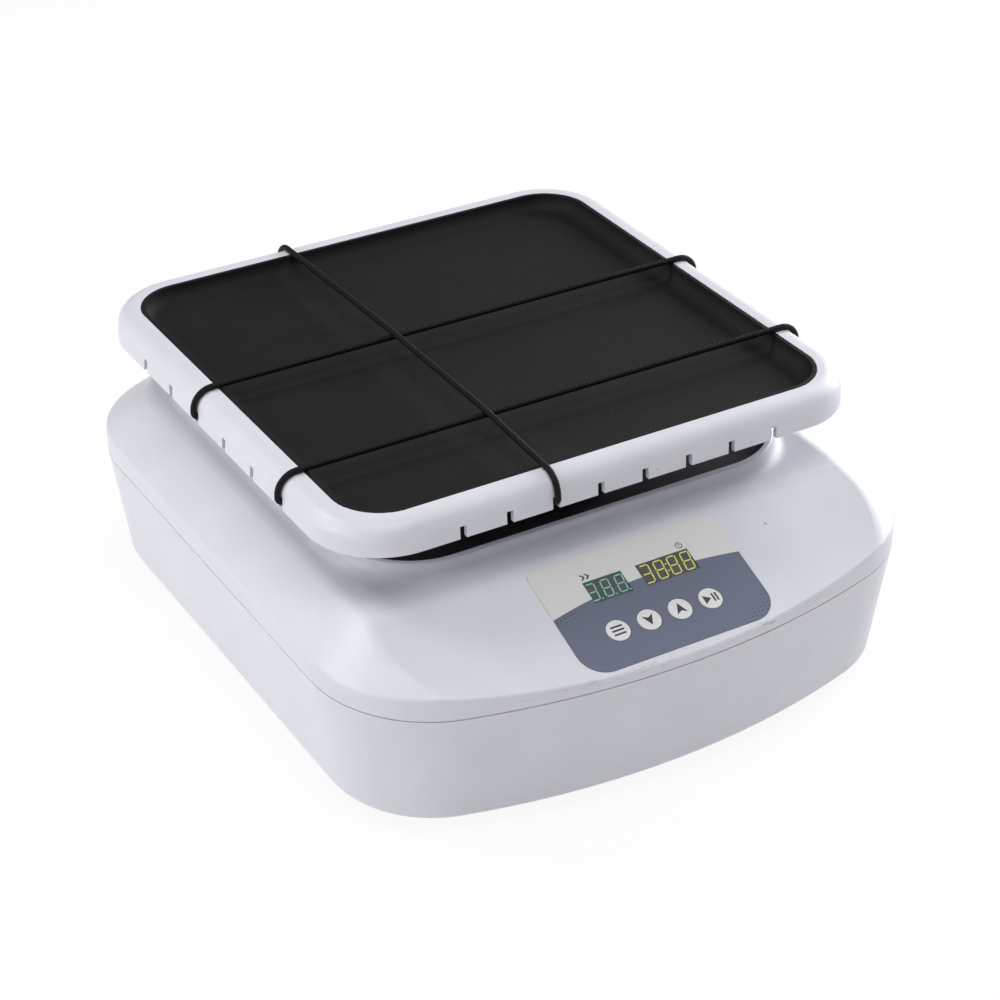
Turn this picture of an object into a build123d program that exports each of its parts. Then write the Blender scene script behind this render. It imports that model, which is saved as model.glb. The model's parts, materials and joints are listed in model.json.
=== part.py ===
from build123d import *
import os
from math import radians, sin, cos, tan, sqrt

os.makedirs("parts", exist_ok=True)

# Rocking platform shaker, millimetres, +Z up, front towards -Y.
# The origin is at the middle of the base outline, on the surface that the feet stand on.

# ---- driving dimensions --------------------------------------------------------------
# platform tray and its mat
well_width = 260.0            # inside the rim, left to right
well_depth = 253.0            # inside the rim, front to back
well_corner = 25.0
rim_width = 11.5
rim_round = 8.5               # roll of the rim's outer edge
rim_inner_round = 0.6
skirt_drop = 15.6             # rim top down to the skirt's lower edge
skirt_draft = 3.5             # degrees, flaring outwards to the lower edge
channel_drop = 6.5            # rim top down to the roof of the channel under it
tray_wall = 2.5
tray_floor = 3.0
mat_floor = 3.0
mat_recess = 8.0              # rim top down to the mat's floor
mat_lip = 2.0
mat_hollow = 7.5              # radius between the mat's floor and its lip
mat_sink = 0.1                # lip of the mat below the rim
# retaining notches and elastic cords
notch_width = 3.4
notch_drop = 9.5              # rim top down to the head of a notch
front_notch_pitch = 24.0
front_notch_count = 8
side_notch_pitch = 30.0
side_notch_count = 6
cord_diameter = 3.0
cord_bead = 5.0
cord_gap = 0.15               # between a cord and what it lies on
long_cord_x = -36.0           # the front-to-back cord
cross_cord_y = (-75.0, 15.0)  # the left-to-right cords, from the platform's middle
# base
base_width = 310.0
base_front = 199.5            # front of the base from the platform's middle
base_back = 155.0
front_bow = 403.0             # radius of the bowed front wall
front_corner = 62.0
back_corner = 61.0
foot_height = 9.0
seam_gap = 0.6
cover_rise = 30.0             # seam up to the flat on top of the cover
shoulder_fall = 19.0          # that flat down to where the side wall meets the shoulder
shoulder_run = 24.0
shoulder_round = 10.0         # between the shoulder and the flat or the control slope
shell_draft_run = 8.0         # how far the lower shell draws in down to its bottom
shell_foot_round = 5.0
crest_round = 2.0
wall = 3.0
tongue = 1.4                  # the lower shell's locating tongue
tongue_height = 3.0
panel_slope = 21.0            # degrees
panel_from_middle = 164.8     # panel centre, in front of the platform's middle
panel_fall = 12.5             # the flat down to the panel's centre
# collar round the mechanism well
collar_margin = 39.3          # sides of the base to the opening
collar_back_margin = 38.0     # back of the base to the opening
collar_corner = 37.7
collar_rise = 8.2             # collar's top above the flat
collar_wall = 3.5
collar_sweep = 6.6
lip_round = 1.2
# rocking mechanism, stacked up from the shell's floor
tilt = 8.0                    # degrees each way
chassis_lift = 4.0            # chassis plate above the shell's floor
chassis_sheet = 2.5
gearbox_lift = 9.5            # gearbox above the chassis plate
gearbox_diameter = 60.0
gearbox_length = 34.0
motor_diameter = 50.0
motor_length = 50.0
output_offset = 10.0          # output shaft above the gearbox axis
output_diameter = 6.0
crank_to_pivot = 48.0
crank_pin_diameter = 4.0
roller_diameter = 12.0
fork_play = 1.6               # free space each side of the roller in the fork
shaft_diameter = 10.0
pedestal_reach = 84.0         # pedestals from the platform's middle
pedestal_to_ear = 14.0
pedestal_to_fork = 24.0       # the fork and the crank pin, behind the front pedestal
plate_fall = 18.0             # pivot down to the well plate
pivot_to_frame = 14.0         # pivot up to the platform frame
frame_sheet = 3.0
# control panel
label_width = 103.4
label_length = 63.6
label_thickness = 0.7
label_recess = 0.5
label_front_corner = 13.0
label_back_corner = 6.0
window_height = 12.4
window_rise = 10.2
speed_window = (-28.6, -7.8)
time_window = (0.0, 29.0)
key_diameter = 11.6
key_pitch = 16.8
key_shift = -1.2              # middle of the row of keys, beside the panel's centre
key_row = -13.0               # row of keys below the panel's centre
key_proud = 0.4
key_travel = 0.8
board_depth = 10.0            # control board's face below the panel
# screws, by shank diameter
case_screw = 3.0
chassis_screw = 3.0
foot_screw = 3.0
gearbox_screw = 3.0
inlet_screw = 2.8
plate_screw = 2.5
board_screw = 2.3
power_screw = 2.0
frame_screw = 4.0             # pedestals, bracket and tray
# each screw's head, diameter and height, and its length past what it clamps
case_screw_head = (6.0, 3.0)
case_end_gap = 2.0            # end of a case screw to the end of its hole
chassis_screw_head = (5.5, 3.0)
chassis_bite = 3.5
foot_screw_head = (6.5, 2.4)
foot_bite = 7.0
gearbox_screw_head = (5.5, 2.0)
gearbox_bite = 4.0
bracket_screw_head = (7.0, 3.0)
bracket_bite = 1.0
pedestal_screw_head = (7.0, 4.0)
pedestal_bite = 0.5
inlet_screw_head = (5.2, 1.6)
inlet_bite = 2.8
plate_screw_head = (5.0, 2.0)
plate_bite = 3.5
board_screw_head = (4.4, 1.7)
board_bite = 4.4
power_screw_head = (4.0, 1.6)
power_bite = 3.4
# shared fits
press_fit = 0.01              # radial, pressed or clamped on a shaft
running_fit = 0.05            # radial, shaft in bush
thread_play = 0.05            # radial, screw in its threaded hole
passing_play = 0.2            # radial, screw in a plain hole
close_fit = 0.15
clear = 0.3

# ---- derived places --------------------------------------------------------------------
base_depth = base_front + base_back
middle_y = base_depth / 2 - base_back          # the platform's middle
shell_floor = foot_height + wall
chassis_height = shell_floor + chassis_lift
chassis_top = chassis_height + chassis_sheet
gearbox_height = chassis_top + gearbox_lift + gearbox_diameter / 2
crank_height = gearbox_height + output_offset
crank_radius = crank_to_pivot * tan(radians(tilt))
pivot_height = crank_height + crank_to_pivot
frame_under = pivot_height + pivot_to_frame
tray_under = frame_under + frame_sheet
mat_under = tray_under + tray_floor
mat_top = mat_under + mat_floor
rim_height = mat_top + mat_recess
skirt_edge = rim_height - skirt_drop
notch_head = rim_height - notch_drop
plate_top = pivot_height - plate_fall
cover_height = plate_top + wall
shoulder_height = cover_height - shoulder_fall
seam_height = cover_height - cover_rise
shell_top = seam_height - seam_gap
panel_height = cover_height - panel_fall
collar_height = cover_height + collar_rise
collar_width = base_width - 2 * collar_margin
collar_depth = 2 * (base_back - collar_back_margin)
ear_reach = pedestal_reach + pedestal_to_ear
fork_reach = pedestal_to_fork - pedestal_reach
outer_width = well_width + 2 * rim_width
outer_depth = well_depth + 2 * rim_width
outer_corner = well_corner + rim_width
slope = radians(panel_slope)
flare = radians(skirt_draft)


def base_outline(inset):
    """Plan of the base: straight sides and back, bowed front, four rounded corners."""
    half = base_width / 2
    bow = front_bow - sqrt(front_bow**2 - half**2)
    front = -base_depth / 2
    back = base_depth / 2
    with BuildSketch() as plan:
        with BuildLine():
            ThreePointArc((-half, front + bow), (0, front), (half, front + bow))
            Line((half, front + bow), (half, back))
            Line((half, back), (-half, back))
            Line((-half, back), (-half, front + bow))
        make_face()
        fillet(plan.vertices().group_by(Axis.Y)[0], radius=front_corner)
        fillet(plan.vertices().group_by(Axis.Y)[-1], radius=back_corner)
        if inset:
            offset(amount=-inset, mode=Mode.REPLACE)
    return plan.sketch


def level(height):
    return Plane.XY.offset(height)


def level_at(x, y, height):
    return Plane((x, y, height), x_dir=(1, 0, 0), z_dir=(0, 0, 1))


def platform_level(height):
    return level_at(0, middle_y, height)


def from_below(x, y, height):
    return Plane((x, y, height), x_dir=(1, 0, 0), z_dir=(0, 0, -1))


def facing_front(x, y, z):
    """A plane facing the operator: its x runs to the right and its y upwards."""
    return Plane((x, y, z), x_dir=(1, 0, 0), z_dir=(0, -1, 0))


def facing_back(x, y, z):
    return Plane((x, y, z), x_dir=(1, 0, 0), z_dir=(0, 1, 0))


def panel_plane(depth):
    """A plane parallel to the control panel, this far below its surface."""
    y = middle_y - panel_from_middle + depth * sin(slope)
    z = panel_height - depth * cos(slope)
    return Plane((0, y, z), x_dir=(1, 0, 0), z_dir=(0, -sin(slope), cos(slope)))


def threaded(screw):
    """Radius of the threaded hole for a screw."""
    return screw / 2 + thread_play


def passing(screw):
    """Radius of a plain hole that a screw passes."""
    return screw / 2 + passing_play


def save(builder, name):
    builder.part.label = name
    export_step(builder.part, f"parts/{name}.step")


socket_size = 0.42            # radius of a screw's hexagon socket, over its shank diameter
socket_depth = 0.6            # over the height of its head


def screw_group(planes, diameter, length, head_diameter, head_height):
    """Identical socket screws: heads stand on the planes, shanks run down behind them."""
    with BuildPart() as group:
        for plane in planes:
            with BuildSketch(plane):
                Circle(head_diameter / 2)
            extrude(amount=head_height)
            with BuildSketch(plane.offset(head_height)):
                RegularPolygon(diameter * socket_size, 6)
            extrude(amount=-head_height * socket_depth, mode=Mode.SUBTRACT)
            with BuildSketch(plane):
                Circle(diameter / 2)
            extrude(amount=-length)
    return group


# ---- lower shell -----------------------------------------------------------------------
post_root = foot_height + wall / 2             # posts start inside the shell's floor
foot_inset = (53.0, 61.25, 47.25)              # a foot from the base's side, front and back
foot_reach_x = base_width / 2 - foot_inset[0]
foot_front_y = foot_inset[1] - base_depth / 2
foot_rear_y = base_depth / 2 - foot_inset[2]
foot_places = [(x, y) for x in (-foot_reach_x, foot_reach_x) for y in (foot_front_y, foot_rear_y)]
foot_post = 12.0
foot_post_rise = 11.5
foot_thread_depth = 9.0
post_inset = (23.0, 72.25, 49.25)              # a post from the base's side, front and back
post_reach = base_width / 2 - post_inset[0]
post_forward = 2.25           # the middle posts, in front of the platform's middle
post_rows = (post_inset[1] - base_depth / 2, middle_y - post_forward,
             base_depth / 2 - post_inset[2])
post_places = [(x, y) for x in (-post_reach, post_reach) for y in post_rows]
post_diameter = 9.0
case_head_play = 0.4
case_clamp = 21.0             # length of lower shell that a case screw clamps
case_head_seat = seam_height - case_clamp
case_thread_depth = 14.0
cover_post_gap = 6.0          # top of the cover's posts, below its flat
chassis_reach_x = 95.0
chassis_rows = (-98.0, -8.0, 85.0)             # from the platform's middle
chassis_places = [(x, middle_y + y) for x in (-chassis_reach_x, chassis_reach_x)
                  for y in chassis_rows]
chassis_post = 10.0
post_thread_depth = 4.0
power_board_width = 112.0
power_board_depth = 34.0
power_board_x = -30.0
power_board_gap = 28.0        # middle of the board to the recess
power_post = 7.0
power_post_inset = 5.0
power_post_x = power_board_width / 2 - power_post_inset
power_post_y = power_board_depth / 2 - power_post_inset
recess_depth = 8.25
recess_width = 100.0
recess_tall = 36.0
recess_top_margin = 11.0      # recess to the seam
recess_corner = 4.0
recess_floor_y = base_depth / 2 - recess_depth
recess_middle = seam_height - recess_top_margin - recess_tall / 2
power_board_y = recess_floor_y - power_board_gap
power_posts = [(power_board_x + x, power_board_y + y)
               for x in (-power_post_x, power_post_x) for y in (-power_post_y, power_post_y)]
rear_pad_depth = 12.0
inlet_x = -22.0
inlet_z = recess_middle
inlet_body_width = 27.0
inlet_body_height = 20.0
inlet_body_depth = 19.0
inlet_screw_reach = 20.0
inlet_screws_at = [(-inlet_screw_reach, 0), (inlet_screw_reach, 0)]
switch_x = 28.0
switch_body_width = 12.8
switch_body_height = 18.8
vent_count = 9
vent_pitch = 8.0
vent_width = 2.6
vent_length = 40.0
vent_y = 30.0                 # from the platform's middle


def shell_form(inset, floor):
    """The lower shell's drafted form, drawn in by an inset for the form of its hollow."""
    with BuildPart() as form:
        with BuildSketch(level(floor)):
            add(base_outline(shell_draft_run + inset))
        with BuildSketch(level(shell_top)):
            add(base_outline(inset))
        loft(ruled=True)
        if not inset:
            fillet(form.edges().group_by(Axis.Z)[0], radius=shell_foot_round)
    return form.part


outer_shell = shell_form(0, foot_height)
pad_middle_y = recess_floor_y - wall + rear_pad_depth / 2
rear_pad = outer_shell & Pos(0, pad_middle_y, recess_middle) * Box(
    recess_width + 2 * wall, rear_pad_depth, recess_tall + 2 * wall)

with BuildPart() as lower_shell:
    add(outer_shell)
    add(shell_form(wall, shell_floor), mode=Mode.SUBTRACT)
    with BuildSketch(level(shell_top)):
        add(base_outline(wall - tongue))
        add(base_outline(wall), mode=Mode.SUBTRACT)
    extrude(amount=tongue_height)
    with BuildSketch(level(post_root)):
        with Locations(post_places):
            Circle(post_diameter / 2)
    extrude(amount=seam_height - post_root)
    with BuildSketch(level(post_root)):
        with Locations(chassis_places):
            Circle(chassis_post / 2)
        with Locations(power_posts):
            Circle(power_post / 2)
    extrude(amount=chassis_height - post_root)
    with BuildSketch(level(post_root)):
        with Locations(foot_places):
            Circle(foot_post / 2)
    extrude(amount=foot_height + foot_post_rise - post_root)
    add(rear_pad)
    # recess behind, with the cut-outs for the inlet and the power switch
    with BuildSketch(facing_front(0, recess_floor_y, recess_middle)):
        RectangleRounded(recess_width, recess_tall, recess_corner)
    extrude(amount=-rear_pad_depth, mode=Mode.SUBTRACT)
    with BuildSketch(facing_front(0, recess_floor_y, inlet_z)):
        with Locations((inlet_x, 0)):
            Rectangle(inlet_body_width + 2 * passing_play, inlet_body_height + 2 * passing_play)
            with Locations(inlet_screws_at):
                Circle(threaded(inlet_screw))
        with Locations((switch_x, 0)):
            Rectangle(switch_body_width + 2 * passing_play, switch_body_height + 2 * passing_play)
    extrude(amount=2 * wall, mode=Mode.SUBTRACT)
    # screw holes
    with BuildSketch(level(foot_height)):
        with Locations(post_places):
            Circle(case_screw_head[0] / 2 + case_head_play)
    extrude(amount=case_head_seat - foot_height, mode=Mode.SUBTRACT)
    with BuildSketch(level(case_head_seat)):
        with Locations(post_places):
            Circle(passing(case_screw))
    extrude(amount=seam_height - case_head_seat, mode=Mode.SUBTRACT)
    with BuildSketch(level(chassis_height)):
        with Locations(chassis_places):
            Circle(threaded(chassis_screw))
        with Locations(power_posts):
            Circle(threaded(power_screw))
    extrude(amount=-post_thread_depth, mode=Mode.SUBTRACT)
    with BuildSketch(level(foot_height)):
        with Locations(foot_places):
            Circle(threaded(foot_screw))
    extrude(amount=foot_thread_depth, mode=Mode.SUBTRACT)
    # cooling slots under the gear motor
    with BuildSketch(level(foot_height)):
        with Locations((0, middle_y + vent_y)):
            with GridLocations(vent_pitch, 0, vent_count, 1):
                SlotOverall(vent_length, vent_width, rotation=90)
    extrude(amount=wall, mode=Mode.SUBTRACT)
save(lower_shell, "lower_shell")

# ---- top cover ---------------------------------------------------------------------------
key_places = [((i - 1.5) * key_pitch + key_shift, key_row) for i in range(4)]
key_names = ("menu_key", "down_key", "up_key", "start_key")
speed_width = speed_window[1] - speed_window[0]
time_width = time_window[1] - time_window[0]
speed_middle = (speed_window[0] + speed_window[1]) / 2
time_middle = (time_window[0] + time_window[1]) / 2
board_width = 96.0
board_length = 50.0
board_sheet = 1.6
board_corner = 2.0
board_post = 7.0
board_post_x = board_width / 2 - 4
board_post_y = board_length / 2 - 4
board_posts = [(x, y) for x in (-board_post_x, board_post_x) for y in (-board_post_y, board_post_y)]
board_thread_depth = 6.0
plate_lap = 8.5               # how far the well plate reaches under the cover
plate_sheet = 2.5
plate_thread_depth = 4.5
plate_screw_inset = 4.0       # screws of the well plate, outside the collar's opening
side_screw_y = 60.0
end_screw_x = 50.0
plate_screws = [(side * (collar_width / 2 + plate_screw_inset), middle_y + y)
                for side in (-1, 1) for y in (-side_screw_y, side_screw_y)]
plate_screws += [(x, middle_y + side * (collar_depth / 2 + plate_screw_inset))
                 for x in (-end_screw_x, end_screw_x) for side in (-1, 1)]


def cover_form(inset, drop):
    """The cover's form: upright edge, sloping shoulder, flat top and the control slope."""
    with BuildPart() as form:
        with BuildSketch(level(seam_height)):
            add(base_outline(inset))
        extrude(amount=shoulder_height - drop / 2 - seam_height)
        with BuildSketch(level(shoulder_height - drop / 2)):
            add(base_outline(inset))
        with BuildSketch(level(cover_height - drop)):
            add(base_outline(inset + shoulder_run))
        loft(ruled=True)
        with BuildSketch(panel_plane(drop)):
            Rectangle(2 * base_width, 2 * base_depth)
        extrude(amount=base_depth, mode=Mode.SUBTRACT)
    return form


def label_outline(margin):
    with BuildSketch() as outline:
        Rectangle(label_width + 2 * margin, label_length + 2 * margin)
        fillet(outline.vertices().group_by(Axis.Y)[0], radius=label_front_corner + margin)
        fillet(outline.vertices().group_by(Axis.Y)[-1], radius=label_back_corner + margin)
    return outline.sketch


def panel_openings():
    """The two display windows and the four key holes, in the panel's own x and y."""
    with BuildSketch() as openings:
        with Locations((speed_middle, window_rise)):
            Rectangle(speed_width, window_height)
        with Locations((time_middle, window_rise)):
            Rectangle(time_width, window_height)
        with Locations(key_places):
            Circle(key_diameter / 2 + clear)
    return openings.sketch


with BuildPart() as top_cover:
    add(cover_form(0, 0).part)
    # soft change from the shoulder to the flat top and to the control slope
    upright = top_cover.faces().filter_by(lambda face: abs(face.normal_at().Z) < 0.01)
    crest_line = upright.edges().filter_by(lambda edge: edge.bounding_box().min.Z > seam_height + 0.5)
    upper_edges = top_cover.edges().filter_by(
        lambda edge: edge.bounding_box().max.Z > cover_height - 0.01
        and (edge.bounding_box().size.Z < 0.01 or edge.bounding_box().min.Y < -base_back))
    fillet(upper_edges - crest_line, radius=shoulder_round)
    upright = top_cover.faces().filter_by(lambda face: abs(face.normal_at().Z) < 0.01)
    crest_line = upright.edges().filter_by(lambda edge: edge.bounding_box().min.Z > seam_height + 0.5)
    fillet(crest_line, radius=crest_round)
    # collar round the well, swept up out of the flat top
    with BuildSketch(platform_level(cover_height - wall)):
        RectangleRounded(collar_width + 2 * collar_wall, collar_depth + 2 * collar_wall,
                         collar_corner + collar_wall)
    extrude(amount=collar_height - cover_height + wall)
    foot_edges = top_cover.edges().filter_by(
        lambda edge: abs(edge.center().Z - cover_height) < 0.01
        and edge.bounding_box().size.Z < 0.01
        and abs(edge.center().X) < collar_width / 2 + collar_wall + 0.1
        and abs(edge.center().Y - middle_y) < collar_depth / 2 + collar_wall + 0.1)
    fillet(foot_edges, radius=collar_sweep)
    add(cover_form(wall, wall).part, mode=Mode.SUBTRACT)
    with BuildSketch(level(seam_height)):
        with Locations(post_places):
            Circle(post_diameter / 2)
    extrude(amount=cover_height - cover_post_gap - seam_height)
    with BuildSketch(panel_plane(board_depth)):
        with Locations(board_posts):
            Circle(board_post / 2)
    extrude(amount=board_depth - wall / 2)
    # the well's opening
    with BuildSketch(platform_level(seam_height)):
        RectangleRounded(collar_width, collar_depth, collar_corner)
    extrude(amount=collar_height - seam_height, mode=Mode.SUBTRACT)
    lip_edges = top_cover.edges().group_by(Axis.Z)[-1]
    fillet(lip_edges, radius=lip_round)
    # rebate over the lower shell's tongue
    with BuildSketch(level(seam_height)):
        add(base_outline(wall - tongue - close_fit))
        add(base_outline(2 * wall), mode=Mode.SUBTRACT)
    extrude(amount=shell_top + tongue_height - seam_height, mode=Mode.SUBTRACT)
    # seat of the control label, its windows and the key holes
    with BuildSketch(panel_plane(label_recess)):
        add(label_outline(close_fit))
    extrude(amount=label_thickness, mode=Mode.SUBTRACT)
    with BuildSketch(panel_plane(0)):
        add(panel_openings())
    extrude(amount=-2 * wall, mode=Mode.SUBTRACT)
    # screw holes
    with BuildSketch(panel_plane(board_depth)):
        with Locations(board_posts):
            Circle(threaded(board_screw))
    extrude(amount=board_thread_depth, mode=Mode.SUBTRACT)
    with BuildSketch(level(seam_height)):
        with Locations(post_places):
            Circle(threaded(case_screw))
    extrude(amount=case_thread_depth, mode=Mode.SUBTRACT)
    with BuildSketch(level(cover_height - wall)):
        with Locations(plate_screws):
            Circle(threaded(plate_screw))
    extrude(amount=plate_thread_depth, mode=Mode.SUBTRACT)
save(top_cover, "top_cover")

# ---- control panel -----------------------------------------------------------------------
with BuildPart() as control_label:
    with BuildSketch(panel_plane(label_recess)):
        add(label_outline(0))
        add(panel_openings(), mode=Mode.SUBTRACT)
    extrude(amount=label_thickness)
save(control_label, "control_label")

window_play = 0.2
display_face = 0.1            # the displays' faces, below the panel's surface
display_corner = 0.5
for name, middle, width in (("speed_display", speed_middle, speed_width),
                            ("time_display", time_middle, time_width)):
    with BuildPart() as display:
        with BuildSketch(panel_plane(board_depth)):
            with Locations((middle, window_rise)):
                RectangleRounded(width - 2 * window_play, window_height - 2 * window_play,
                                 display_corner)
        extrude(amount=board_depth - display_face)
    save(display, name)

key_flange = 1.5
key_lip = 1.2
key_round = 0.3
key_lift = wall + clear + key_flange           # underside of a key, below the panel's surface
panel_normal = Axis(panel_plane(0).origin, panel_plane(0).z_dir)
for name, place in zip(key_names, key_places):
    with BuildPart() as key:
        with BuildSketch(panel_plane(key_lift)):
            with Locations(place):
                Circle(key_diameter / 2 + key_lip)
        extrude(amount=key_flange)
        with BuildSketch(panel_plane(key_lift)):
            with Locations(place):
                Circle(key_diameter / 2)
        extrude(amount=key_lift + key_proud)
        fillet(key.faces().sort_by(panel_normal)[-1].edges(), radius=key_round)
    save(key, name)

switch_body = 6.0
switch_body_tall = 3.2
switch_stem = 3.5
stem_play = 0.2
stem_rest = key_lift + key_travel + stem_play
with BuildPart() as key_switches:
    with BuildSketch(panel_plane(board_depth)):
        with Locations(key_places):
            Rectangle(switch_body, switch_body)
    extrude(amount=switch_body_tall)
    with BuildSketch(panel_plane(board_depth)):
        with Locations(key_places):
            Circle(switch_stem / 2)
    extrude(amount=board_depth - stem_rest)
save(key_switches, "key_switches")

chip_size = 10.0
chip_place = (-14.0, -4.0)
driver_width = 18.0
driver_length = 6.0
driver_place = (24.0, 8.0)
resistor_width = 3.0
resistor_length = 1.6
component_height = 2.0
board_back = panel_plane(board_depth + board_sheet)
with BuildPart() as control_board:
    with BuildSketch(board_back):
        RectangleRounded(board_width, board_length, board_corner)
        with Locations(board_posts):
            Circle(passing(board_screw), mode=Mode.SUBTRACT)
    extrude(amount=board_sheet)
    # controller, display driver and resistors behind the board
    with BuildSketch(board_back):
        with Locations(chip_place):
            Rectangle(chip_size, chip_size)
        with Locations(driver_place):
            Rectangle(driver_width, driver_length)
        with GridLocations(7, 12, 4, 2):
            Rectangle(resistor_width, resistor_length)
    extrude(amount=-component_height)
save(control_board, "control_board")

board_screw_planes = [Plane(board_back.from_local_coords(Vector(x, y, 0)), x_dir=(1, 0, 0),
                            z_dir=-board_back.z_dir) for x, y in board_posts]
save(screw_group(board_screw_planes, board_screw, board_sheet + board_bite, *board_screw_head),
     "board_screws")

# ---- well plate ----------------------------------------------------------------------------
plate_under = plate_top - plate_sheet
pedestal_thickness = 10.0
pedestal_base = 34.0          # half widths of a pedestal at its base and its crown
pedestal_crown = 12.0
flange_height = 6.0
fork_width = 26.0
fork_thickness = 8.0
slot_play = 2.0               # round the pedestals and the swinging fork
slot_corner = 1.0
coaming = 2.0
coaming_height = 3.5
pivot_over_plate = pivot_height - plate_under
pedestal_taper = (pedestal_base - pedestal_crown) / (pivot_height - chassis_top - flange_height)
pedestal_slot = 2 * (pedestal_crown + pivot_over_plate * pedestal_taper + slot_play)
fork_slot_width = fork_width + 2 * (pivot_over_plate * tan(radians(tilt)) + slot_play)
well_slots = [(-pedestal_reach, pedestal_slot, pedestal_thickness + 2 * slot_play),
              (pedestal_reach, pedestal_slot, pedestal_thickness + 2 * slot_play),
              (fork_reach, fork_slot_width, fork_thickness + 2 * slot_play)]
with BuildPart() as well_plate:
    with BuildSketch(platform_level(plate_under)):
        RectangleRounded(collar_width + 2 * plate_lap, collar_depth + 2 * plate_lap,
                         collar_corner + plate_lap)
    extrude(amount=plate_sheet)
    for reach, width, depth in well_slots:
        with BuildSketch(level_at(0, middle_y + reach, plate_under)):
            RectangleRounded(width + 2 * coaming, depth + 2 * coaming, slot_corner + coaming)
        extrude(amount=plate_sheet + coaming_height)
        with BuildSketch(level_at(0, middle_y + reach, plate_under)):
            RectangleRounded(width, depth, slot_corner)
        extrude(amount=plate_sheet + coaming_height, mode=Mode.SUBTRACT)
    with BuildSketch(level(plate_under)):
        with Locations(plate_screws):
            Circle(passing(plate_screw))
    extrude(amount=plate_sheet, mode=Mode.SUBTRACT)
save(well_plate, "well_plate")
save(screw_group([from_below(x, y, plate_under) for x, y in plate_screws], plate_screw,
                 plate_sheet + plate_bite, *plate_screw_head), "well_screws")

# ---- chassis, pedestals and bushes ---------------------------------------------------------
chassis_front = -106.0        # chassis plate edges, from the platform's middle
chassis_back = 99.0
chassis_margin = 9.0
chassis_corner = 8.0
chassis_slot_x = 72.0
chassis_slot_length = 110.0
chassis_slot_width = 22.0
flange_half_width = 36.0
flange_depth = 28.0
flange_corner = 5.0
flange_bolts = (27.0, 9.0)
window_sill = 14.0            # lightening window of a pedestal, above the chassis
window_head = 26.0            # its head below the pivot
window_half_low = 15.0
window_half_high = 8.0
window_round = 4.0
bush_wall = 2.0
bush_flange = 2.0
bush_lip = 3.0
bracket_behind_fork = 22.0    # front face of the motor bracket
bracket_reach = fork_reach + bracket_behind_fork
bracket_sheet = 3.0
bracket_width = 70.0
bracket_foot = 48.0
bracket_corner = 12.0
bracket_bend = 2.0
bracket_bolt_x = 27.0
bracket_bolt_rows = (16.0, 38.0)
bracket_height = gearbox_height + gearbox_diameter / 2 + bracket_sheet
bracket_bolts = [(x, middle_y + bracket_reach + y) for x in (-bracket_bolt_x, bracket_bolt_x)
                 for y in bracket_bolt_rows]
with BuildPart() as chassis_plate:
    with BuildSketch(level_at(0, middle_y + (chassis_front + chassis_back) / 2, chassis_height)):
        RectangleRounded(2 * (chassis_reach_x + chassis_margin), chassis_back - chassis_front,
                         chassis_corner)
    extrude(amount=chassis_sheet)
    with BuildSketch(level(chassis_height)):
        with Locations(chassis_places):
            Circle(passing(chassis_screw))
        with Locations(bracket_bolts):
            Circle(threaded(frame_screw))
        with Locations((-chassis_slot_x, middle_y), (chassis_slot_x, middle_y)):
            SlotOverall(chassis_slot_length, chassis_slot_width, rotation=90)
        for reach in (-pedestal_reach, pedestal_reach):
            with Locations((0, middle_y + reach)):
                with GridLocations(2 * flange_bolts[0], 2 * flange_bolts[1], 2, 2):
                    Circle(threaded(frame_screw))
    extrude(amount=chassis_sheet, mode=Mode.SUBTRACT)
save(chassis_plate, "chassis_plate")
save(screw_group([level_at(x, y, chassis_top) for x, y in chassis_places], chassis_screw,
                 chassis_sheet + chassis_bite, *chassis_screw_head), "chassis_screws")

bush_radius = shaft_diameter / 2 + bush_wall
for name, side in (("front", -1), ("rear", 1)):
    reach = middle_y + side * pedestal_reach
    rise = pivot_height - chassis_top
    with BuildPart() as pedestal:
        with BuildSketch(facing_front(0, reach, chassis_top)):
            with BuildLine():
                Polyline((-pedestal_base, 0), (pedestal_base, 0), (pedestal_base, flange_height),
                         (pedestal_crown, rise), (-pedestal_crown, rise),
                         (-pedestal_base, flange_height), close=True)
            make_face()
            with Locations((0, rise)):
                Circle(pedestal_crown)
        extrude(amount=pedestal_thickness / 2, both=True)
        with BuildSketch(facing_front(0, reach, chassis_top)) as lightening:
            with BuildLine():
                Polyline((-window_half_low, window_sill), (window_half_low, window_sill),
                         (window_half_high, rise - window_head),
                         (-window_half_high, rise - window_head), close=True)
            make_face()
            fillet(lightening.vertices(), radius=window_round)
        extrude(amount=pedestal_thickness / 2, both=True, mode=Mode.SUBTRACT)
        with BuildSketch(level_at(0, reach, chassis_top)):
            RectangleRounded(2 * flange_half_width, flange_depth, flange_corner)
        extrude(amount=flange_height)
        with BuildSketch(level_at(0, reach, chassis_top)):
            with GridLocations(2 * flange_bolts[0], 2 * flange_bolts[1], 2, 2):
                Circle(passing(frame_screw))
        extrude(amount=flange_height, mode=Mode.SUBTRACT)
        with BuildSketch(facing_front(0, reach, pivot_height)):
            Circle(bush_radius)
        extrude(amount=pedestal_thickness, both=True, mode=Mode.SUBTRACT)
    save(pedestal, f"pedestal_{name}")
    with BuildPart() as bush:
        with BuildSketch(facing_front(0, reach, pivot_height)):
            Circle(bush_radius)
        extrude(amount=pedestal_thickness / 2, both=True)
        with BuildSketch(facing_front(0, reach - side * pedestal_thickness / 2, pivot_height)):
            Circle(bush_radius + bush_lip)
        extrude(amount=side * bush_flange)
        with BuildSketch(facing_front(0, reach, pivot_height)):
            Circle(shaft_diameter / 2 + running_fit)
        extrude(amount=pedestal_thickness, both=True, mode=Mode.SUBTRACT)
    save(bush, f"bush_{name}")

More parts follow.
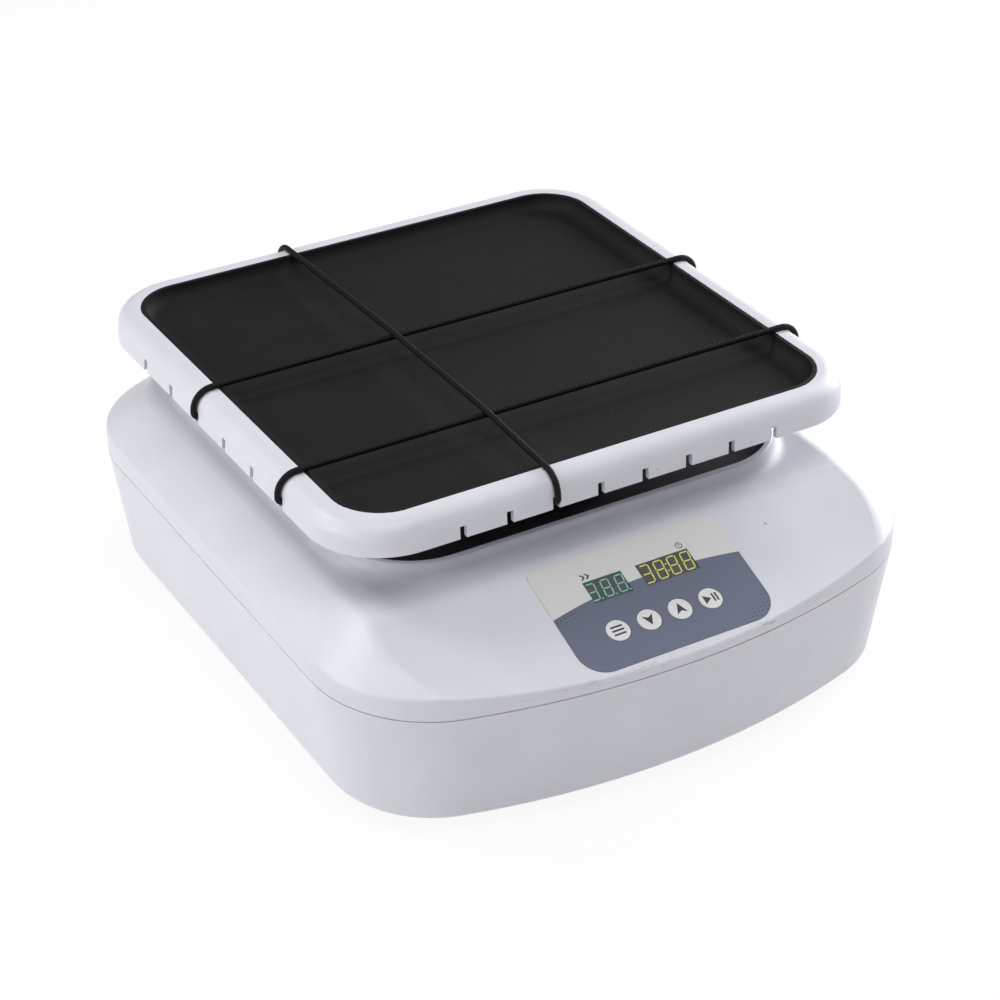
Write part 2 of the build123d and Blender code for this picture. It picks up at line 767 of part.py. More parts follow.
pedestal_bolts = [level_at(x * flange_bolts[0], middle_y + side * pedestal_reach + y * flange_bolts[1],
                           chassis_top + flange_height)
                  for side in (-1, 1) for x in (-1, 1) for y in (-1, 1)]
save(screw_group(pedestal_bolts, frame_screw, flange_height + chassis_sheet + pedestal_bite,
                 *pedestal_screw_head), "pedestal_screws")

# ---- gear motor and crank ------------------------------------------------------------------
gearbox_face = middle_y + bracket_reach + bracket_sheet
gearbox_boss = 9.0
gearbox_chamfer = 1.0
gearbox_bolt_radius = 23.0
gearbox_bolt_count = 4
gearbox_thread_depth = 5.0
bracket_face = facing_front(0, middle_y + bracket_reach, gearbox_height)
with BuildPart() as motor_bracket:
    with BuildSketch(facing_front(0, middle_y + bracket_reach, chassis_top)) as upright:
        with Locations((0, (bracket_height - chassis_top) / 2)):
            Rectangle(bracket_width, bracket_height - chassis_top)
        fillet(upright.vertices().group_by(Axis.Y)[-1], radius=bracket_corner)
    extrude(amount=-bracket_sheet)
    with BuildSketch(level_at(0, middle_y + bracket_reach + bracket_foot / 2, chassis_top)):
        Rectangle(bracket_width, bracket_foot)
    extrude(amount=bracket_sheet)
    inside_bend = motor_bracket.edges().filter_by(Axis.X).filter_by(
        lambda edge: abs(edge.center().Z - chassis_top - bracket_sheet) < 0.01
        and abs(edge.center().Y - gearbox_face) < 0.01)
    fillet(inside_bend, radius=bracket_bend)
    with BuildSketch(bracket_face):
        with Locations((0, output_offset)):
            Circle(gearbox_boss + close_fit)
        with PolarLocations(gearbox_bolt_radius, gearbox_bolt_count, start_angle=45):
            Circle(passing(gearbox_screw))
    extrude(amount=-bracket_sheet, mode=Mode.SUBTRACT)
    with BuildSketch(level(chassis_top)):
        with Locations(bracket_bolts):
            Circle(passing(frame_screw))
    extrude(amount=bracket_sheet, mode=Mode.SUBTRACT)
save(motor_bracket, "motor_bracket")

gearbox_screw_planes = [facing_front(gearbox_bolt_radius * cos(radians(angle)),
                                     middle_y + bracket_reach,
                                     gearbox_height + gearbox_bolt_radius * sin(radians(angle)))
                        for angle in (45, 135, 225, 315)]
bracket_screw_planes = [level_at(x, y, chassis_top + bracket_sheet) for x, y in bracket_bolts]
save(screw_group(gearbox_screw_planes, gearbox_screw, bracket_sheet + gearbox_bite,
                 *gearbox_screw_head), "gearbox_screws")
save(screw_group(bracket_screw_planes, frame_screw, bracket_sheet + chassis_sheet + bracket_bite,
                 *bracket_screw_head), "bracket_screws")

disc_thickness = 8.0
disc_diameter = 32.0
disc_chamfer = 0.8
disc_face = middle_y + fork_reach + disc_thickness     # front face of the crank disc
boss_reach = 3.0              # gearbox boss in front of the bracket
boss_tip = middle_y + bracket_reach - boss_reach
shaft_seat = 14.0             # length of the output shaft in the gearbox
shaft_end = gearbox_face + shaft_seat
shaft_chamfer = 0.5
with BuildPart() as gearbox:
    with BuildSketch(facing_front(0, gearbox_face, gearbox_height)):
        Circle(gearbox_diameter / 2)
    extrude(amount=-gearbox_length)
    chamfer(gearbox.edges().filter_by(GeomType.CIRCLE), length=gearbox_chamfer)
    with BuildSketch(facing_front(0, gearbox_face, crank_height)):
        Circle(gearbox_boss)
    extrude(amount=gearbox_face - boss_tip)
    with BuildSketch(facing_front(0, boss_tip, crank_height)):
        Circle(output_diameter / 2 + running_fit)
    extrude(amount=boss_tip - shaft_end - clear, mode=Mode.SUBTRACT)
    with BuildSketch(facing_front(0, gearbox_face, gearbox_height)):
        with PolarLocations(gearbox_bolt_radius, gearbox_bolt_count, start_angle=45):
            Circle(threaded(gearbox_screw))
    extrude(amount=-gearbox_thread_depth, mode=Mode.SUBTRACT)
save(gearbox, "gearbox")

motor_round = 3.0
motor_boss = 16.0
motor_boss_length = 3.0
motor_tab_x = 14.0
tab_width = 4.8               # flat terminals of the motor and the switch
tab_thickness = 0.8
tab_length = 8.0
motor_back = facing_front(0, gearbox_face + gearbox_length + motor_length, gearbox_height)
with BuildPart() as motor:
    with BuildSketch(facing_front(0, gearbox_face + gearbox_length, gearbox_height)):
        Circle(motor_diameter / 2)
    extrude(amount=-motor_length)
    fillet(motor.edges().group_by(Axis.Y)[-1], radius=motor_round)
    with BuildSketch(motor_back):
        Circle(motor_boss / 2)
    extrude(amount=-motor_boss_length)
    with BuildSketch(motor_back):
        with Locations((-motor_tab_x, 0), (motor_tab_x, 0)):
            Rectangle(tab_width, tab_thickness)
    extrude(amount=-tab_length)
save(motor, "motor")

with BuildPart() as output_shaft:
    with BuildSketch(facing_front(0, disc_face, crank_height)):
        Circle(output_diameter / 2)
    extrude(amount=disc_face - shaft_end)
    chamfer(output_shaft.edges().group_by(Axis.Y)[0], length=shaft_chamfer)
save(output_shaft, "output_shaft")

pin_height = crank_height - crank_radius
with BuildPart() as crank_disc:
    with BuildSketch(facing_front(0, disc_face, crank_height)):
        Circle(disc_diameter / 2)
        Circle(output_diameter / 2 + press_fit, mode=Mode.SUBTRACT)
        with Locations((0, -crank_radius)):
            Circle(crank_pin_diameter / 2 + press_fit, mode=Mode.SUBTRACT)
    extrude(amount=-disc_thickness)
    chamfer(crank_disc.edges().filter_by(GeomType.CIRCLE).filter_by(
        lambda edge: edge.radius > disc_diameter / 2 - 0.1), length=disc_chamfer)
save(crank_disc, "crank_disc")

roller_width = 9.0
roller_end_play = 0.05
roller_chamfer = 0.6
pin_collar = 8.0
pin_head = 1.5
roller_face = middle_y + fork_reach - roller_width / 2
with BuildPart() as crank_pin:
    with BuildSketch(facing_front(0, roller_face, pin_height)):
        Circle(crank_pin_diameter / 2)
    extrude(amount=roller_face - disc_face - disc_thickness)
    with BuildSketch(facing_front(0, roller_face, pin_height)):
        Circle(pin_collar / 2)
    extrude(amount=pin_head)
    with BuildSketch(facing_front(0, disc_face, pin_height)):
        Circle(pin_collar / 2)
    extrude(amount=disc_face - roller_face - roller_width)
save(crank_pin, "crank_pin")

with BuildPart() as crank_roller:
    with BuildSketch(facing_front(0, roller_face + roller_end_play, pin_height)):
        Circle(roller_diameter / 2)
        Circle(crank_pin_diameter / 2 + running_fit, mode=Mode.SUBTRACT)
    extrude(amount=-(roller_width - 2 * roller_end_play))
    chamfer(crank_roller.edges().filter_by(GeomType.CIRCLE).filter_by(
        lambda edge: edge.radius > roller_diameter / 2 - 0.1), length=roller_chamfer)
save(crank_roller, "crank_roller")

# ---- platform: shaft, fork, frame ----------------------------------------------------------
ear_thickness = 3.0
ear_round = 12.0
ear_spread = 30.0             # half width of an ear where it meets the frame
shaft_over = 5.0
shaft_reach = ear_reach + ear_thickness / 2 + shaft_over
pivot_chamfer = 0.6
boss_diameter = 22.0
frame_width = 96.0
frame_flange = 10.0
frame_flange_inset = 15.0
frame_slot_pitch = 62.0
frame_slot_length = 50.0
frame_slot_width = 26.0
frame_rise = frame_under - pivot_height
with BuildPart() as pivot_shaft:
    with BuildSketch(facing_front(0, middle_y - shaft_reach, pivot_height)):
        Circle(shaft_diameter / 2)
    extrude(amount=-2 * shaft_reach)
    chamfer(pivot_shaft.edges().filter_by(GeomType.CIRCLE), length=pivot_chamfer)
save(pivot_shaft, "pivot_shaft")

fork_slot = roller_diameter + 2 * fork_play
slot_over = 2.0               # the slot's head above the roller at its highest
fork_over = 4.0               # the fork's foot below the roller at its lowest
fork_neck = fork_width / 2 - 1
fork_foot_round = 1.5
fork_head = crank_height + crank_radius + roller_diameter / 2 + slot_over - pivot_height
fork_foot = crank_height - crank_radius - roller_diameter / 2 - fork_over - pivot_height
slot_spring = fork_head - fork_slot / 2
with BuildPart() as rocker_fork:
    with BuildSketch(facing_front(0, middle_y + fork_reach, pivot_height)) as fork_side:
        Circle(fork_neck)
        with BuildLine():
            Polyline((-fork_neck, 0), (fork_neck, 0), (fork_width / 2, fork_head),
                     (fork_width / 2, fork_foot), (-fork_width / 2, fork_foot),
                     (-fork_width / 2, fork_head), close=True)
        make_face()
        with BuildLine():
            Line((-fork_slot / 2, fork_foot), (fork_slot / 2, fork_foot))
            Line((fork_slot / 2, fork_foot), (fork_slot / 2, slot_spring))
            ThreePointArc((fork_slot / 2, slot_spring), (0, fork_head), (-fork_slot / 2, slot_spring))
            Line((-fork_slot / 2, slot_spring), (-fork_slot / 2, fork_foot))
        make_face(mode=Mode.SUBTRACT)
        Circle(shaft_diameter / 2 + press_fit, mode=Mode.SUBTRACT)
        fillet(fork_side.vertices().group_by(Axis.Y)[0], radius=fork_foot_round)
    extrude(amount=fork_thickness / 2, both=True)
    # clamping boss each side of the web
    with BuildSketch(facing_front(0, middle_y + fork_reach, pivot_height)):
        Circle(boss_diameter / 2)
        Circle(shaft_diameter / 2 + press_fit, mode=Mode.SUBTRACT)
    extrude(amount=fork_thickness, both=True)
save(rocker_fork, "rocker_fork")

ear_inner = ear_reach - ear_thickness / 2
pedestal_outer = pedestal_reach + pedestal_thickness / 2
hub_flange = 3.0
hub_flange_radius = ear_round - 0.5
hub_radius = 8.0
collar_radius = 9.0
with BuildPart() as shaft_hubs:
    for side in (-1, 1):
        for radius, length in ((hub_flange_radius, hub_flange),
                               (hub_radius, ear_inner - pedestal_outer - clear)):
            with BuildSketch(facing_front(0, middle_y + side * ear_inner, pivot_height)):
                Circle(radius)
                Circle(shaft_diameter / 2 + press_fit, mode=Mode.SUBTRACT)
            extrude(amount=side * length)
save(shaft_hubs, "shaft_hubs")

with BuildPart() as shaft_collars:
    for side in (-1, 1):
        with BuildSketch(facing_front(0, middle_y + side * (ear_reach + ear_thickness / 2), pivot_height)):
            Circle(collar_radius)
            Circle(shaft_diameter / 2 + press_fit, mode=Mode.SUBTRACT)
        extrude(amount=-side * (shaft_over - 1))
save(shaft_collars, "shaft_collars")

frame_length = 2 * ear_reach + ear_thickness
frame_bolt_x = 38.0
frame_bolt_y = 80.0
frame_bolts = [(x, middle_y + y) for x in (-frame_bolt_x, frame_bolt_x)
               for y in (-frame_bolt_y, 0, frame_bolt_y)]
with BuildPart() as platform_frame:
    with BuildSketch(platform_level(frame_under)):
        Rectangle(frame_width, frame_length)
        with GridLocations(0, frame_slot_pitch, 1, 3):
            SlotOverall(frame_slot_length, frame_slot_width, mode=Mode.SUBTRACT)
    extrude(amount=frame_sheet)
    for side in (-1, 1):
        with BuildSketch(facing_front(0, middle_y + side * ear_reach, pivot_height)):
            with BuildLine():
                Polyline((-ear_round, 0), (ear_round, 0), (ear_spread, frame_rise + frame_sheet / 2),
                         (-ear_spread, frame_rise + frame_sheet / 2), close=True)
            make_face()
            Circle(ear_round)
            Circle(shaft_diameter / 2 + press_fit, mode=Mode.SUBTRACT)
        extrude(amount=ear_thickness / 2, both=True)
    # stiffening flanges along both sides
    with BuildSketch(platform_level(frame_under)):
        with GridLocations(frame_width - frame_sheet, 0, 2, 1):
            Rectangle(frame_sheet, frame_length - 2 * frame_flange_inset)
    extrude(amount=-frame_flange)
    with BuildSketch(level(frame_under)):
        with Locations(frame_bolts):
            Circle(threaded(frame_screw))
    extrude(amount=frame_sheet, mode=Mode.SUBTRACT)
save(platform_frame, "platform_frame")

# ---- tray, mat and their screws ------------------------------------------------------------
channel_top = rim_height - channel_drop
skirt_flare = skirt_drop * tan(flare)
tray_head = 8.0
tray_head_height = 1.5
tray_head_play = 0.2
tray_screw_over = 1.0


def skirt_outline(height, inset):
    """Plan of the flared skirt at a height, drawn in by an inset."""
    grow = (rim_height - height) * tan(flare) - inset
    with BuildSketch() as plan:
        RectangleRounded(outer_width + 2 * grow, outer_depth + 2 * grow, outer_corner + grow)
    return plan.sketch


def well_outline(grow):
    with BuildSketch() as plan:
        RectangleRounded(well_width + 2 * grow, well_depth + 2 * grow, well_corner + grow)
    return plan.sketch


with BuildPart() as channel:
    with BuildSketch(platform_level(skirt_edge)):
        add(skirt_outline(skirt_edge, tray_wall))
    with BuildSketch(platform_level(channel_top)):
        add(skirt_outline(channel_top, tray_wall))
    loft(ruled=True)
    with BuildSketch(platform_level(skirt_edge)):
        add(well_outline(tray_wall))
    extrude(amount=channel_top - skirt_edge, mode=Mode.SUBTRACT)

with BuildPart() as tray:
    with BuildSketch(platform_level(skirt_edge)):
        add(skirt_outline(skirt_edge, 0))
    with BuildSketch(platform_level(rim_height)):
        add(skirt_outline(rim_height, 0))
    loft(ruled=True)
    fillet(tray.edges().group_by(Axis.Z)[-1], radius=rim_round)
    with BuildSketch(platform_level(mat_under)):
        add(well_outline(0))
    extrude(amount=rim_height - mat_under, mode=Mode.SUBTRACT)
    fillet(tray.edges().group_by(Axis.Z)[-1], radius=rim_inner_round)
    # the hollow under the rim, open at the bottom
    add(channel.part, mode=Mode.SUBTRACT)
    with BuildSketch(platform_level(skirt_edge)):
        add(well_outline(tray_wall))
    extrude(amount=tray_under - skirt_edge, mode=Mode.SUBTRACT)
    # notches through the skirt for the cords
    with BuildSketch(platform_level(skirt_edge)):
        for side in (-1, 1):
            with Locations((0, side * (outer_depth / 2 + skirt_flare))):
                with GridLocations(front_notch_pitch, 0, front_notch_count, 1):
                    Rectangle(notch_width, 3 * tray_wall)
            with Locations((side * (outer_width / 2 + skirt_flare), 0)):
                with GridLocations(0, side_notch_pitch, 1, side_notch_count):
                    Rectangle(3 * tray_wall, notch_width)
    extrude(amount=notch_head - skirt_edge, mode=Mode.SUBTRACT)
    with BuildSketch(level(tray_under)):
        with Locations(frame_bolts):
            Circle(threaded(frame_screw))
    extrude(amount=tray_floor, mode=Mode.SUBTRACT)
    with BuildSketch(level(mat_under)):
        with Locations(frame_bolts):
            Circle(tray_head / 2 + tray_head_play)
    extrude(amount=-tray_head_height, mode=Mode.SUBTRACT)
save(tray, "tray")

with BuildPart() as tray_screws:
    for x, y in frame_bolts:
        with BuildSketch(level_at(x, y, mat_under)):
            Circle(tray_head / 2)
        extrude(amount=-tray_head_height)
        with BuildSketch(level_at(x, y, mat_under)):
            Circle(frame_screw / 2)
        extrude(amount=-tray_floor - frame_sheet - tray_screw_over)
save(tray_screws, "tray_screws")

with BuildPart() as mat_basin:
    with BuildSketch(platform_level(mat_top)):
        add(well_outline(-mat_lip))
    extrude(amount=2 * mat_recess)
    fillet(mat_basin.edges().group_by(Axis.Z)[0], radius=mat_hollow)
with BuildPart() as mat:
    with BuildSketch(platform_level(mat_under)):
        add(well_outline(0))
    extrude(amount=rim_height - mat_under - mat_sink)
    add(mat_basin.part, mode=Mode.SUBTRACT)
save(mat, "mat")

# ---- elastic cords -------------------------------------------------------------------------
cord_radius = cord_diameter / 2
cord_elbow = cord_diameter                     # bend from a notch down into the channel
roll_height = rim_height - rim_round           # centre of the rim's roll
over_rim = rim_height + cord_radius + cord_gap
rim_bend = rim_round + cord_radius + cord_gap
crossing_bend = cord_diameter + cord_gap
bead_height = notch_head - cord_elbow
bead_inset = tray_wall + clear + cord_bead / 2 - (rim_height - bead_height) * tan(flare)
sphere_turn = (0, 0, 45)                       # keeps a bead's seam off the cord


def tangent_normal(start, start_bend, end, end_bend):
    """Upward unit normal of the straight run over two round edges, each a centre and a bend."""
    run = Vector(end[0] - start[0], end[1] - start[1])
    along = run.normalized()
    lean = (start_bend - end_bend) / run.length
    return along * lean + Vector(-along.Y, along.X) * sqrt(1 - lean * lean)


def make_cord(name, plane, half, crossings):
    """A cord from bead to bead, through two notches and over the rim between them.

    The plane's x runs along the cord and its y upwards. A bend is a centre and a radius.
    """
    roll = half + rim_round * tan(flare) - rim_round / cos(flare)
    fall = (roll_height + (rim_bend - cord_elbow) * sin(flare) - notch_head) / cos(flare)
    elbow = roll + (rim_bend - cord_elbow) * cos(flare) + fall * sin(flare)
    over = [((-roll, roll_height), rim_bend)]
    over += [((place, over_rim), crossing_bend) for place in crossings]
    over += [((roll, roll_height), rim_bend)]
    bends = [((-elbow, notch_head), cord_elbow)] + over + [((elbow, notch_head), cord_elbow)]
    normals = [Vector(0, -1), Vector(-cos(flare), sin(flare))]
    normals += [tangent_normal(*near, *far) for near, far in zip(over, over[1:])]
    normals += [Vector(cos(flare), sin(flare)), Vector(0, -1)]
    beads = [Vector(side * (half - bead_inset), bead_height) for side in (-1, 1)]
    point = beads[0]
    with BuildLine() as route:
        for (centre, bend), before, after in zip(bends, normals, normals[1:]):
            middle = (before + after).normalized()
            start, top, end = (Vector(*centre) + normal * bend for normal in (before, middle, after))
            Line(point, start)
            ThreePointArc(start, top, end)
            point = end
        Line(point, beads[1])
    path = plane.from_local_coords(route.wires()[0])
    with BuildPart() as cord:
        with BuildSketch(Plane(path @ 0, z_dir=path % 0)):
            Circle(cord_radius)
        sweep(path=path)
        for bead in beads:
            with Locations(plane.from_local_coords(bead)):
                Sphere(cord_bead / 2, rotation=sphere_turn)
    save(cord, name)
    print(name, "length", round(path.length, 1), "radii", [round(bend, 2) for _, bend in bends])


make_cord("cord_long", Plane((long_cord_x, middle_y, 0), x_dir=(0, 1, 0), z_dir=(1, 0, 0)),
          outer_depth / 2, cross_cord_y)
for name, y in zip(("cord_cross_front", "cord_cross_rear"), cross_cord_y):
    make_cord(name, facing_front(0, middle_y + y, 0), outer_width / 2, ())

# ---- power supply, inlet and switch --------------------------------------------------------
board_top = chassis_height + board_sheet
transformer_beside = 28.0     # its middle, beside the board's middle
transformer_x = power_board_x - transformer_beside
capacitor_x = 14.0            # the first one, beside the board's middle
transformer_core = (30.0, 26.0, 24.0)          # width, depth, height
transformer_winding = (24.0, 32.0, 14.0)
winding_lift = 5.0
capacitor_pitch = 20.0
capacitor_front = 8.0          # their row, in front of the board's middle
capacitor_places = [(power_board_x + capacitor_x + i * capacitor_pitch, power_board_y - capacitor_front)
                    for i in (0, 1)]
capacitor_diameter = 16.0
capacitor_height = 22.0
capacitor_round = 1.0
with BuildPart() as power_board:
    with BuildSketch(level(chassis_height)):
        with Locations((power_board_x, power_board_y)):
            Rectangle(power_board_width, power_board_depth)
        with Locations(power_posts):
            Circle(passing(power_screw), mode=Mode.SUBTRACT)
    extrude(amount=board_sheet)
save(power_board, "power_board")
save(screw_group([level_at(x, y, board_top) for x, y in power_posts], power_screw,
                 board_sheet + power_bite, *power_screw_head), "power_screws")

with BuildPart() as transformer:
    for lift, (width, depth, height) in ((0, transformer_core), (winding_lift, transformer_winding)):
        with BuildSketch(level_at(transformer_x, power_board_y, board_top + lift)):
            Rectangle(width, depth)
        extrude(amount=height)
save(transformer, "transformer")

with BuildPart() as capacitors:
    for x, y in capacitor_places:
        with BuildSketch(level_at(x, y, board_top)):
            Circle(capacitor_diameter / 2)
        extrude(amount=capacitor_height)
    fillet(capacitors.edges().group_by(Axis.Z)[-1], radius=capacitor_round)
save(capacitors, "capacitors")

inlet_flange = 2.2
inlet_flange_width = 2 * inlet_screw_reach + 8
inlet_flange_height = 22.6
inlet_flange_corner = 3.0
inlet_body_corner = 2.0
socket_width = 24.5
socket_height = 16.6
socket_chamfer = 4.0
socket_reach = 16.0           # depth of the socket behind the flange's face
pin_width = 2.0
pin_height_flat = 4.0
pins_at = [(-7, -2), (0, 2), (7, -2)]
pin_setback = 6.0
pin_tail_length = 6.0
inlet_face = recess_floor_y + inlet_flange
pin_tip = inlet_face - pin_setback
pin_tail = recess_floor_y - inlet_body_depth - pin_tail_length
with BuildPart() as power_inlet:
    with BuildSketch(facing_front(inlet_x, inlet_face, inlet_z)):
        RectangleRounded(inlet_flange_width, inlet_flange_height, inlet_flange_corner)
    extrude(amount=inlet_flange)
    with BuildSketch(facing_front(inlet_x, recess_floor_y, inlet_z)):
        RectangleRounded(inlet_body_width, inlet_body_height, inlet_body_corner)
    extrude(amount=inlet_body_depth)
    with BuildSketch(facing_front(inlet_x, inlet_face, inlet_z)) as socket:
        Rectangle(socket_width, socket_height)
        chamfer(socket.vertices().group_by(Axis.Y)[-1], length=socket_chamfer)
    extrude(amount=socket_reach, mode=Mode.SUBTRACT)
    with BuildSketch(facing_front(inlet_x, inlet_face, inlet_z)):
        with Locations(inlet_screws_at):
            Circle(passing(inlet_screw))
    extrude(amount=inlet_flange, mode=Mode.SUBTRACT)
    with BuildSketch(facing_front(inlet_x, inlet_face - socket_reach, inlet_z)):
        with Locations(pins_at):
            Rectangle(pin_width + 2 * press_fit, pin_height_flat + 2 * press_fit)
    extrude(amount=inlet_body_depth, mode=Mode.SUBTRACT)
save(power_inlet, "power_inlet")

with BuildPart() as inlet_pins:
    with BuildSketch(facing_front(inlet_x, pin_tip, inlet_z)):
        with Locations(pins_at):
            Rectangle(pin_width, pin_height_flat)
    extrude(amount=pin_tip - pin_tail)
save(inlet_pins, "inlet_pins")
save(screw_group([facing_back(inlet_x + x, inlet_face, inlet_z) for x, _ in inlet_screws_at],
                 inlet_screw, inlet_flange + wall + inlet_bite, *inlet_screw_head), "inlet_screws")

bezel = 2.0
bezel_rim = 1.2
bezel_corner = 1.0
bezel_face = recess_floor_y + bezel
switch_depth = 17.0
switch_well_end = 4.5         # depth of the rocker's well behind its hinge line
switch_tab_pitch = 5.0
rocker_half = 7.2
rocker_width = 10.4
rocker_rise = 3.2             # hinge line up to the valley of the rocker
rocker_tilt = 10.0
rocker_hub = 3.0
rocker_back = 1.0             # the rocker's ends and its middle, in front of and behind the hinge
rocker_waist = 2.8
hinge_y = bezel_face - rocker_rise - clear
stub = 1.2
stub_end_play = 0.1
with BuildPart() as switch_housing:
    with BuildSketch(facing_front(switch_x, bezel_face, inlet_z)):
        RectangleRounded(switch_body_width + 2 * bezel_rim, switch_body_height + 2 * bezel_rim,
                         bezel_corner)
    extrude(amount=bezel)
    with BuildSketch(facing_front(switch_x, recess_floor_y, inlet_z)):
        Rectangle(switch_body_width, switch_body_height)
    extrude(amount=switch_depth)
    with BuildSketch(facing_front(switch_x, bezel_face, inlet_z)):
        Rectangle(rocker_width + 2 * clear, 2 * rocker_half + 2)
    extrude(amount=bezel_face - hinge_y + switch_well_end, mode=Mode.SUBTRACT)
    with BuildSketch(Plane((switch_x, hinge_y, inlet_z), x_dir=(0, 1, 0), z_dir=(1, 0, 0))):
        Circle(stub + running_fit)
    extrude(amount=switch_body_width, both=True, mode=Mode.SUBTRACT)
    # tabs for the wires
    with BuildSketch(facing_front(switch_x, recess_floor_y - switch_depth, inlet_z)):
        with GridLocations(0, switch_tab_pitch, 1, 3):
            Rectangle(tab_width, tab_thickness)
    extrude(amount=tab_length)
save(switch_housing, "switch_housing")

rest_plane = Plane((switch_x, hinge_y, inlet_z), z_dir=(1, 0, 0),
                   x_dir=(0, cos(radians(rocker_tilt)), sin(radians(rocker_tilt))))
rocker_end = rocker_rise + rocker_half * tan(radians(rocker_tilt))
with BuildPart() as switch_rocker:
    with BuildSketch(rest_plane):
        with BuildLine():
            Polyline((rocker_rise, 0), (rocker_end, rocker_half), (rocker_back, rocker_half),
                     (-rocker_back, rocker_waist), (-rocker_back, -rocker_waist),
                     (rocker_back, -rocker_half), (rocker_end, -rocker_half), close=True)
        make_face()
        Circle(rocker_hub)
    extrude(amount=rocker_width / 2, both=True)
    with BuildSketch(rest_plane):
        Circle(stub)
    extrude(amount=switch_body_width / 2 - stub_end_play, both=True)
save(switch_rocker, "switch_rocker")

# ---- feet and case screws ------------------------------------------------------------------
foot_top_radius = 12.0
foot_tread_radius = 10.5
foot_tread_round = 1.2
foot_screw_seat = 4.0
foot_pocket = 8.0              # diameter of the hollow round a foot's screw
with BuildPart() as feet:
    for x, y in foot_places:
        with BuildSketch(level_at(x, y, 0)):
            Circle(foot_tread_radius)
        with BuildSketch(level_at(x, y, foot_height)):
            Circle(foot_top_radius)
        loft()
    fillet(feet.edges().group_by(Axis.Z)[0], radius=foot_tread_round)
    with BuildSketch(level(0)):
        with Locations(foot_places):
            Circle(foot_pocket / 2)
    extrude(amount=foot_screw_seat, mode=Mode.SUBTRACT)
    with BuildSketch(level(0)):
        with Locations(foot_places):
            Circle(passing(foot_screw))
    extrude(amount=foot_height, mode=Mode.SUBTRACT)
save(feet, "feet")

save(screw_group([from_below(x, y, foot_screw_seat) for x, y in foot_places], foot_screw,
                 foot_height - foot_screw_seat + foot_bite, *foot_screw_head), "foot_screws")
save(screw_group([from_below(x, y, case_head_seat) for x, y in post_places], case_screw,
                 case_clamp + case_thread_depth - case_end_gap, *case_screw_head), "case_screws")
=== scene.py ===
import json
from math import radians, sin, cos
import bmesh
import bpy
from mathutils import Matrix, Vector


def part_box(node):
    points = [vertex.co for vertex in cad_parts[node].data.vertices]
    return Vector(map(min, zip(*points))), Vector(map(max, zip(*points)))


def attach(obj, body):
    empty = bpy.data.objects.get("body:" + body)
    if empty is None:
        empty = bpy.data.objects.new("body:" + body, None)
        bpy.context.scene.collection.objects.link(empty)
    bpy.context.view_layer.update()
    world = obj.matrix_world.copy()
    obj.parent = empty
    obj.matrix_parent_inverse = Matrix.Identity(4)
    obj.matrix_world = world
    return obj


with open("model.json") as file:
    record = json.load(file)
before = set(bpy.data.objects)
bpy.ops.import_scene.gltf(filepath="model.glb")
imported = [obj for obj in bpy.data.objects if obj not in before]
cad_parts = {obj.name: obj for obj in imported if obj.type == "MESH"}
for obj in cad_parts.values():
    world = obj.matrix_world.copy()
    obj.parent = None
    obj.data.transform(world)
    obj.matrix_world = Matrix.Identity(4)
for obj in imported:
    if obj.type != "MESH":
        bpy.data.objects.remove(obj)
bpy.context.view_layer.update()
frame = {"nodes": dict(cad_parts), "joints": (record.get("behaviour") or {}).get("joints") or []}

# Rocking platform shaker, metres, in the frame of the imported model: +Z up, the front towards -Y.
nodes = frame["nodes"]
scene = bpy.context.scene
mm = 0.001
print("frame loaded:", len(nodes), "nodes")

# the camera stands off the front left corner and looks down; angles in degrees, lens and sensor in mm
view = {"place": (-0.53877, -0.92173, 0.72208), "around": -30.453, "down": 31.700, "roll": -0.273,
        "lens": 89.44, "sensor": 36.0, "reach": 20}


def makeCamera(facts):
    turn, tip = radians(facts["around"]), radians(facts["down"])
    back = Vector((sin(turn) * cos(tip), -cos(turn) * cos(tip), sin(tip)))
    right = Vector((cos(turn), sin(turn), 0))
    basis = Matrix((right, back.cross(right), back)).transposed().to_4x4()
    roll = Matrix.Rotation(radians(facts["roll"]), 4, back)
    data = bpy.data.cameras.new("camera")
    data.lens = facts["lens"]
    data.sensor_width = facts["sensor"]
    data.clip_end = facts["reach"]
    camera = bpy.data.objects.new("camera", data)
    camera.matrix_world = Matrix.Translation(facts["place"]) @ roll @ basis
    scene.collection.objects.link(camera)
    scene.camera = camera


makeCamera(view)
print("camera placed")


# short forms for building shader nodes
def addNode(tree, kind, **settings):
    node = tree.nodes.new(kind)
    for key, value in settings.items():
        setattr(node, key, value)
    return node


def plug(tree, value, socket):
    if isinstance(value, bpy.types.NodeSocket):
        tree.links.new(value, socket)
    elif isinstance(value, (tuple, list)) and len(value) == 3 and socket.type == "RGBA":
        socket.default_value = (*value, 1)
    else:
        socket.default_value = value


def math(tree, operation, *values, clamp=False):
    node = addNode(tree, "ShaderNodeMath", operation=operation, use_clamp=clamp)
    for value, socket in zip(values, node.inputs):
        plug(tree, value, socket)
    return node.outputs[0]


def product(tree, first, *others):
    for other in others:
        first = math(tree, "MULTIPLY", first, other)
    return first


def mixColor(tree, factor, first, second):
    node = addNode(tree, "ShaderNodeMix", data_type="RGBA")
    plug(tree, factor, node.inputs["Factor"])
    plug(tree, first, node.inputs[6])
    plug(tree, second, node.inputs[7])
    return node.outputs[2]


def remap(tree, value, low, high, toLow=0.0, toHigh=1.0):
    node = addNode(tree, "ShaderNodeMapRange")
    for item, socket in zip((value, low, high, toLow, toHigh), node.inputs):
        plug(tree, item, socket)
    return node.outputs[0]


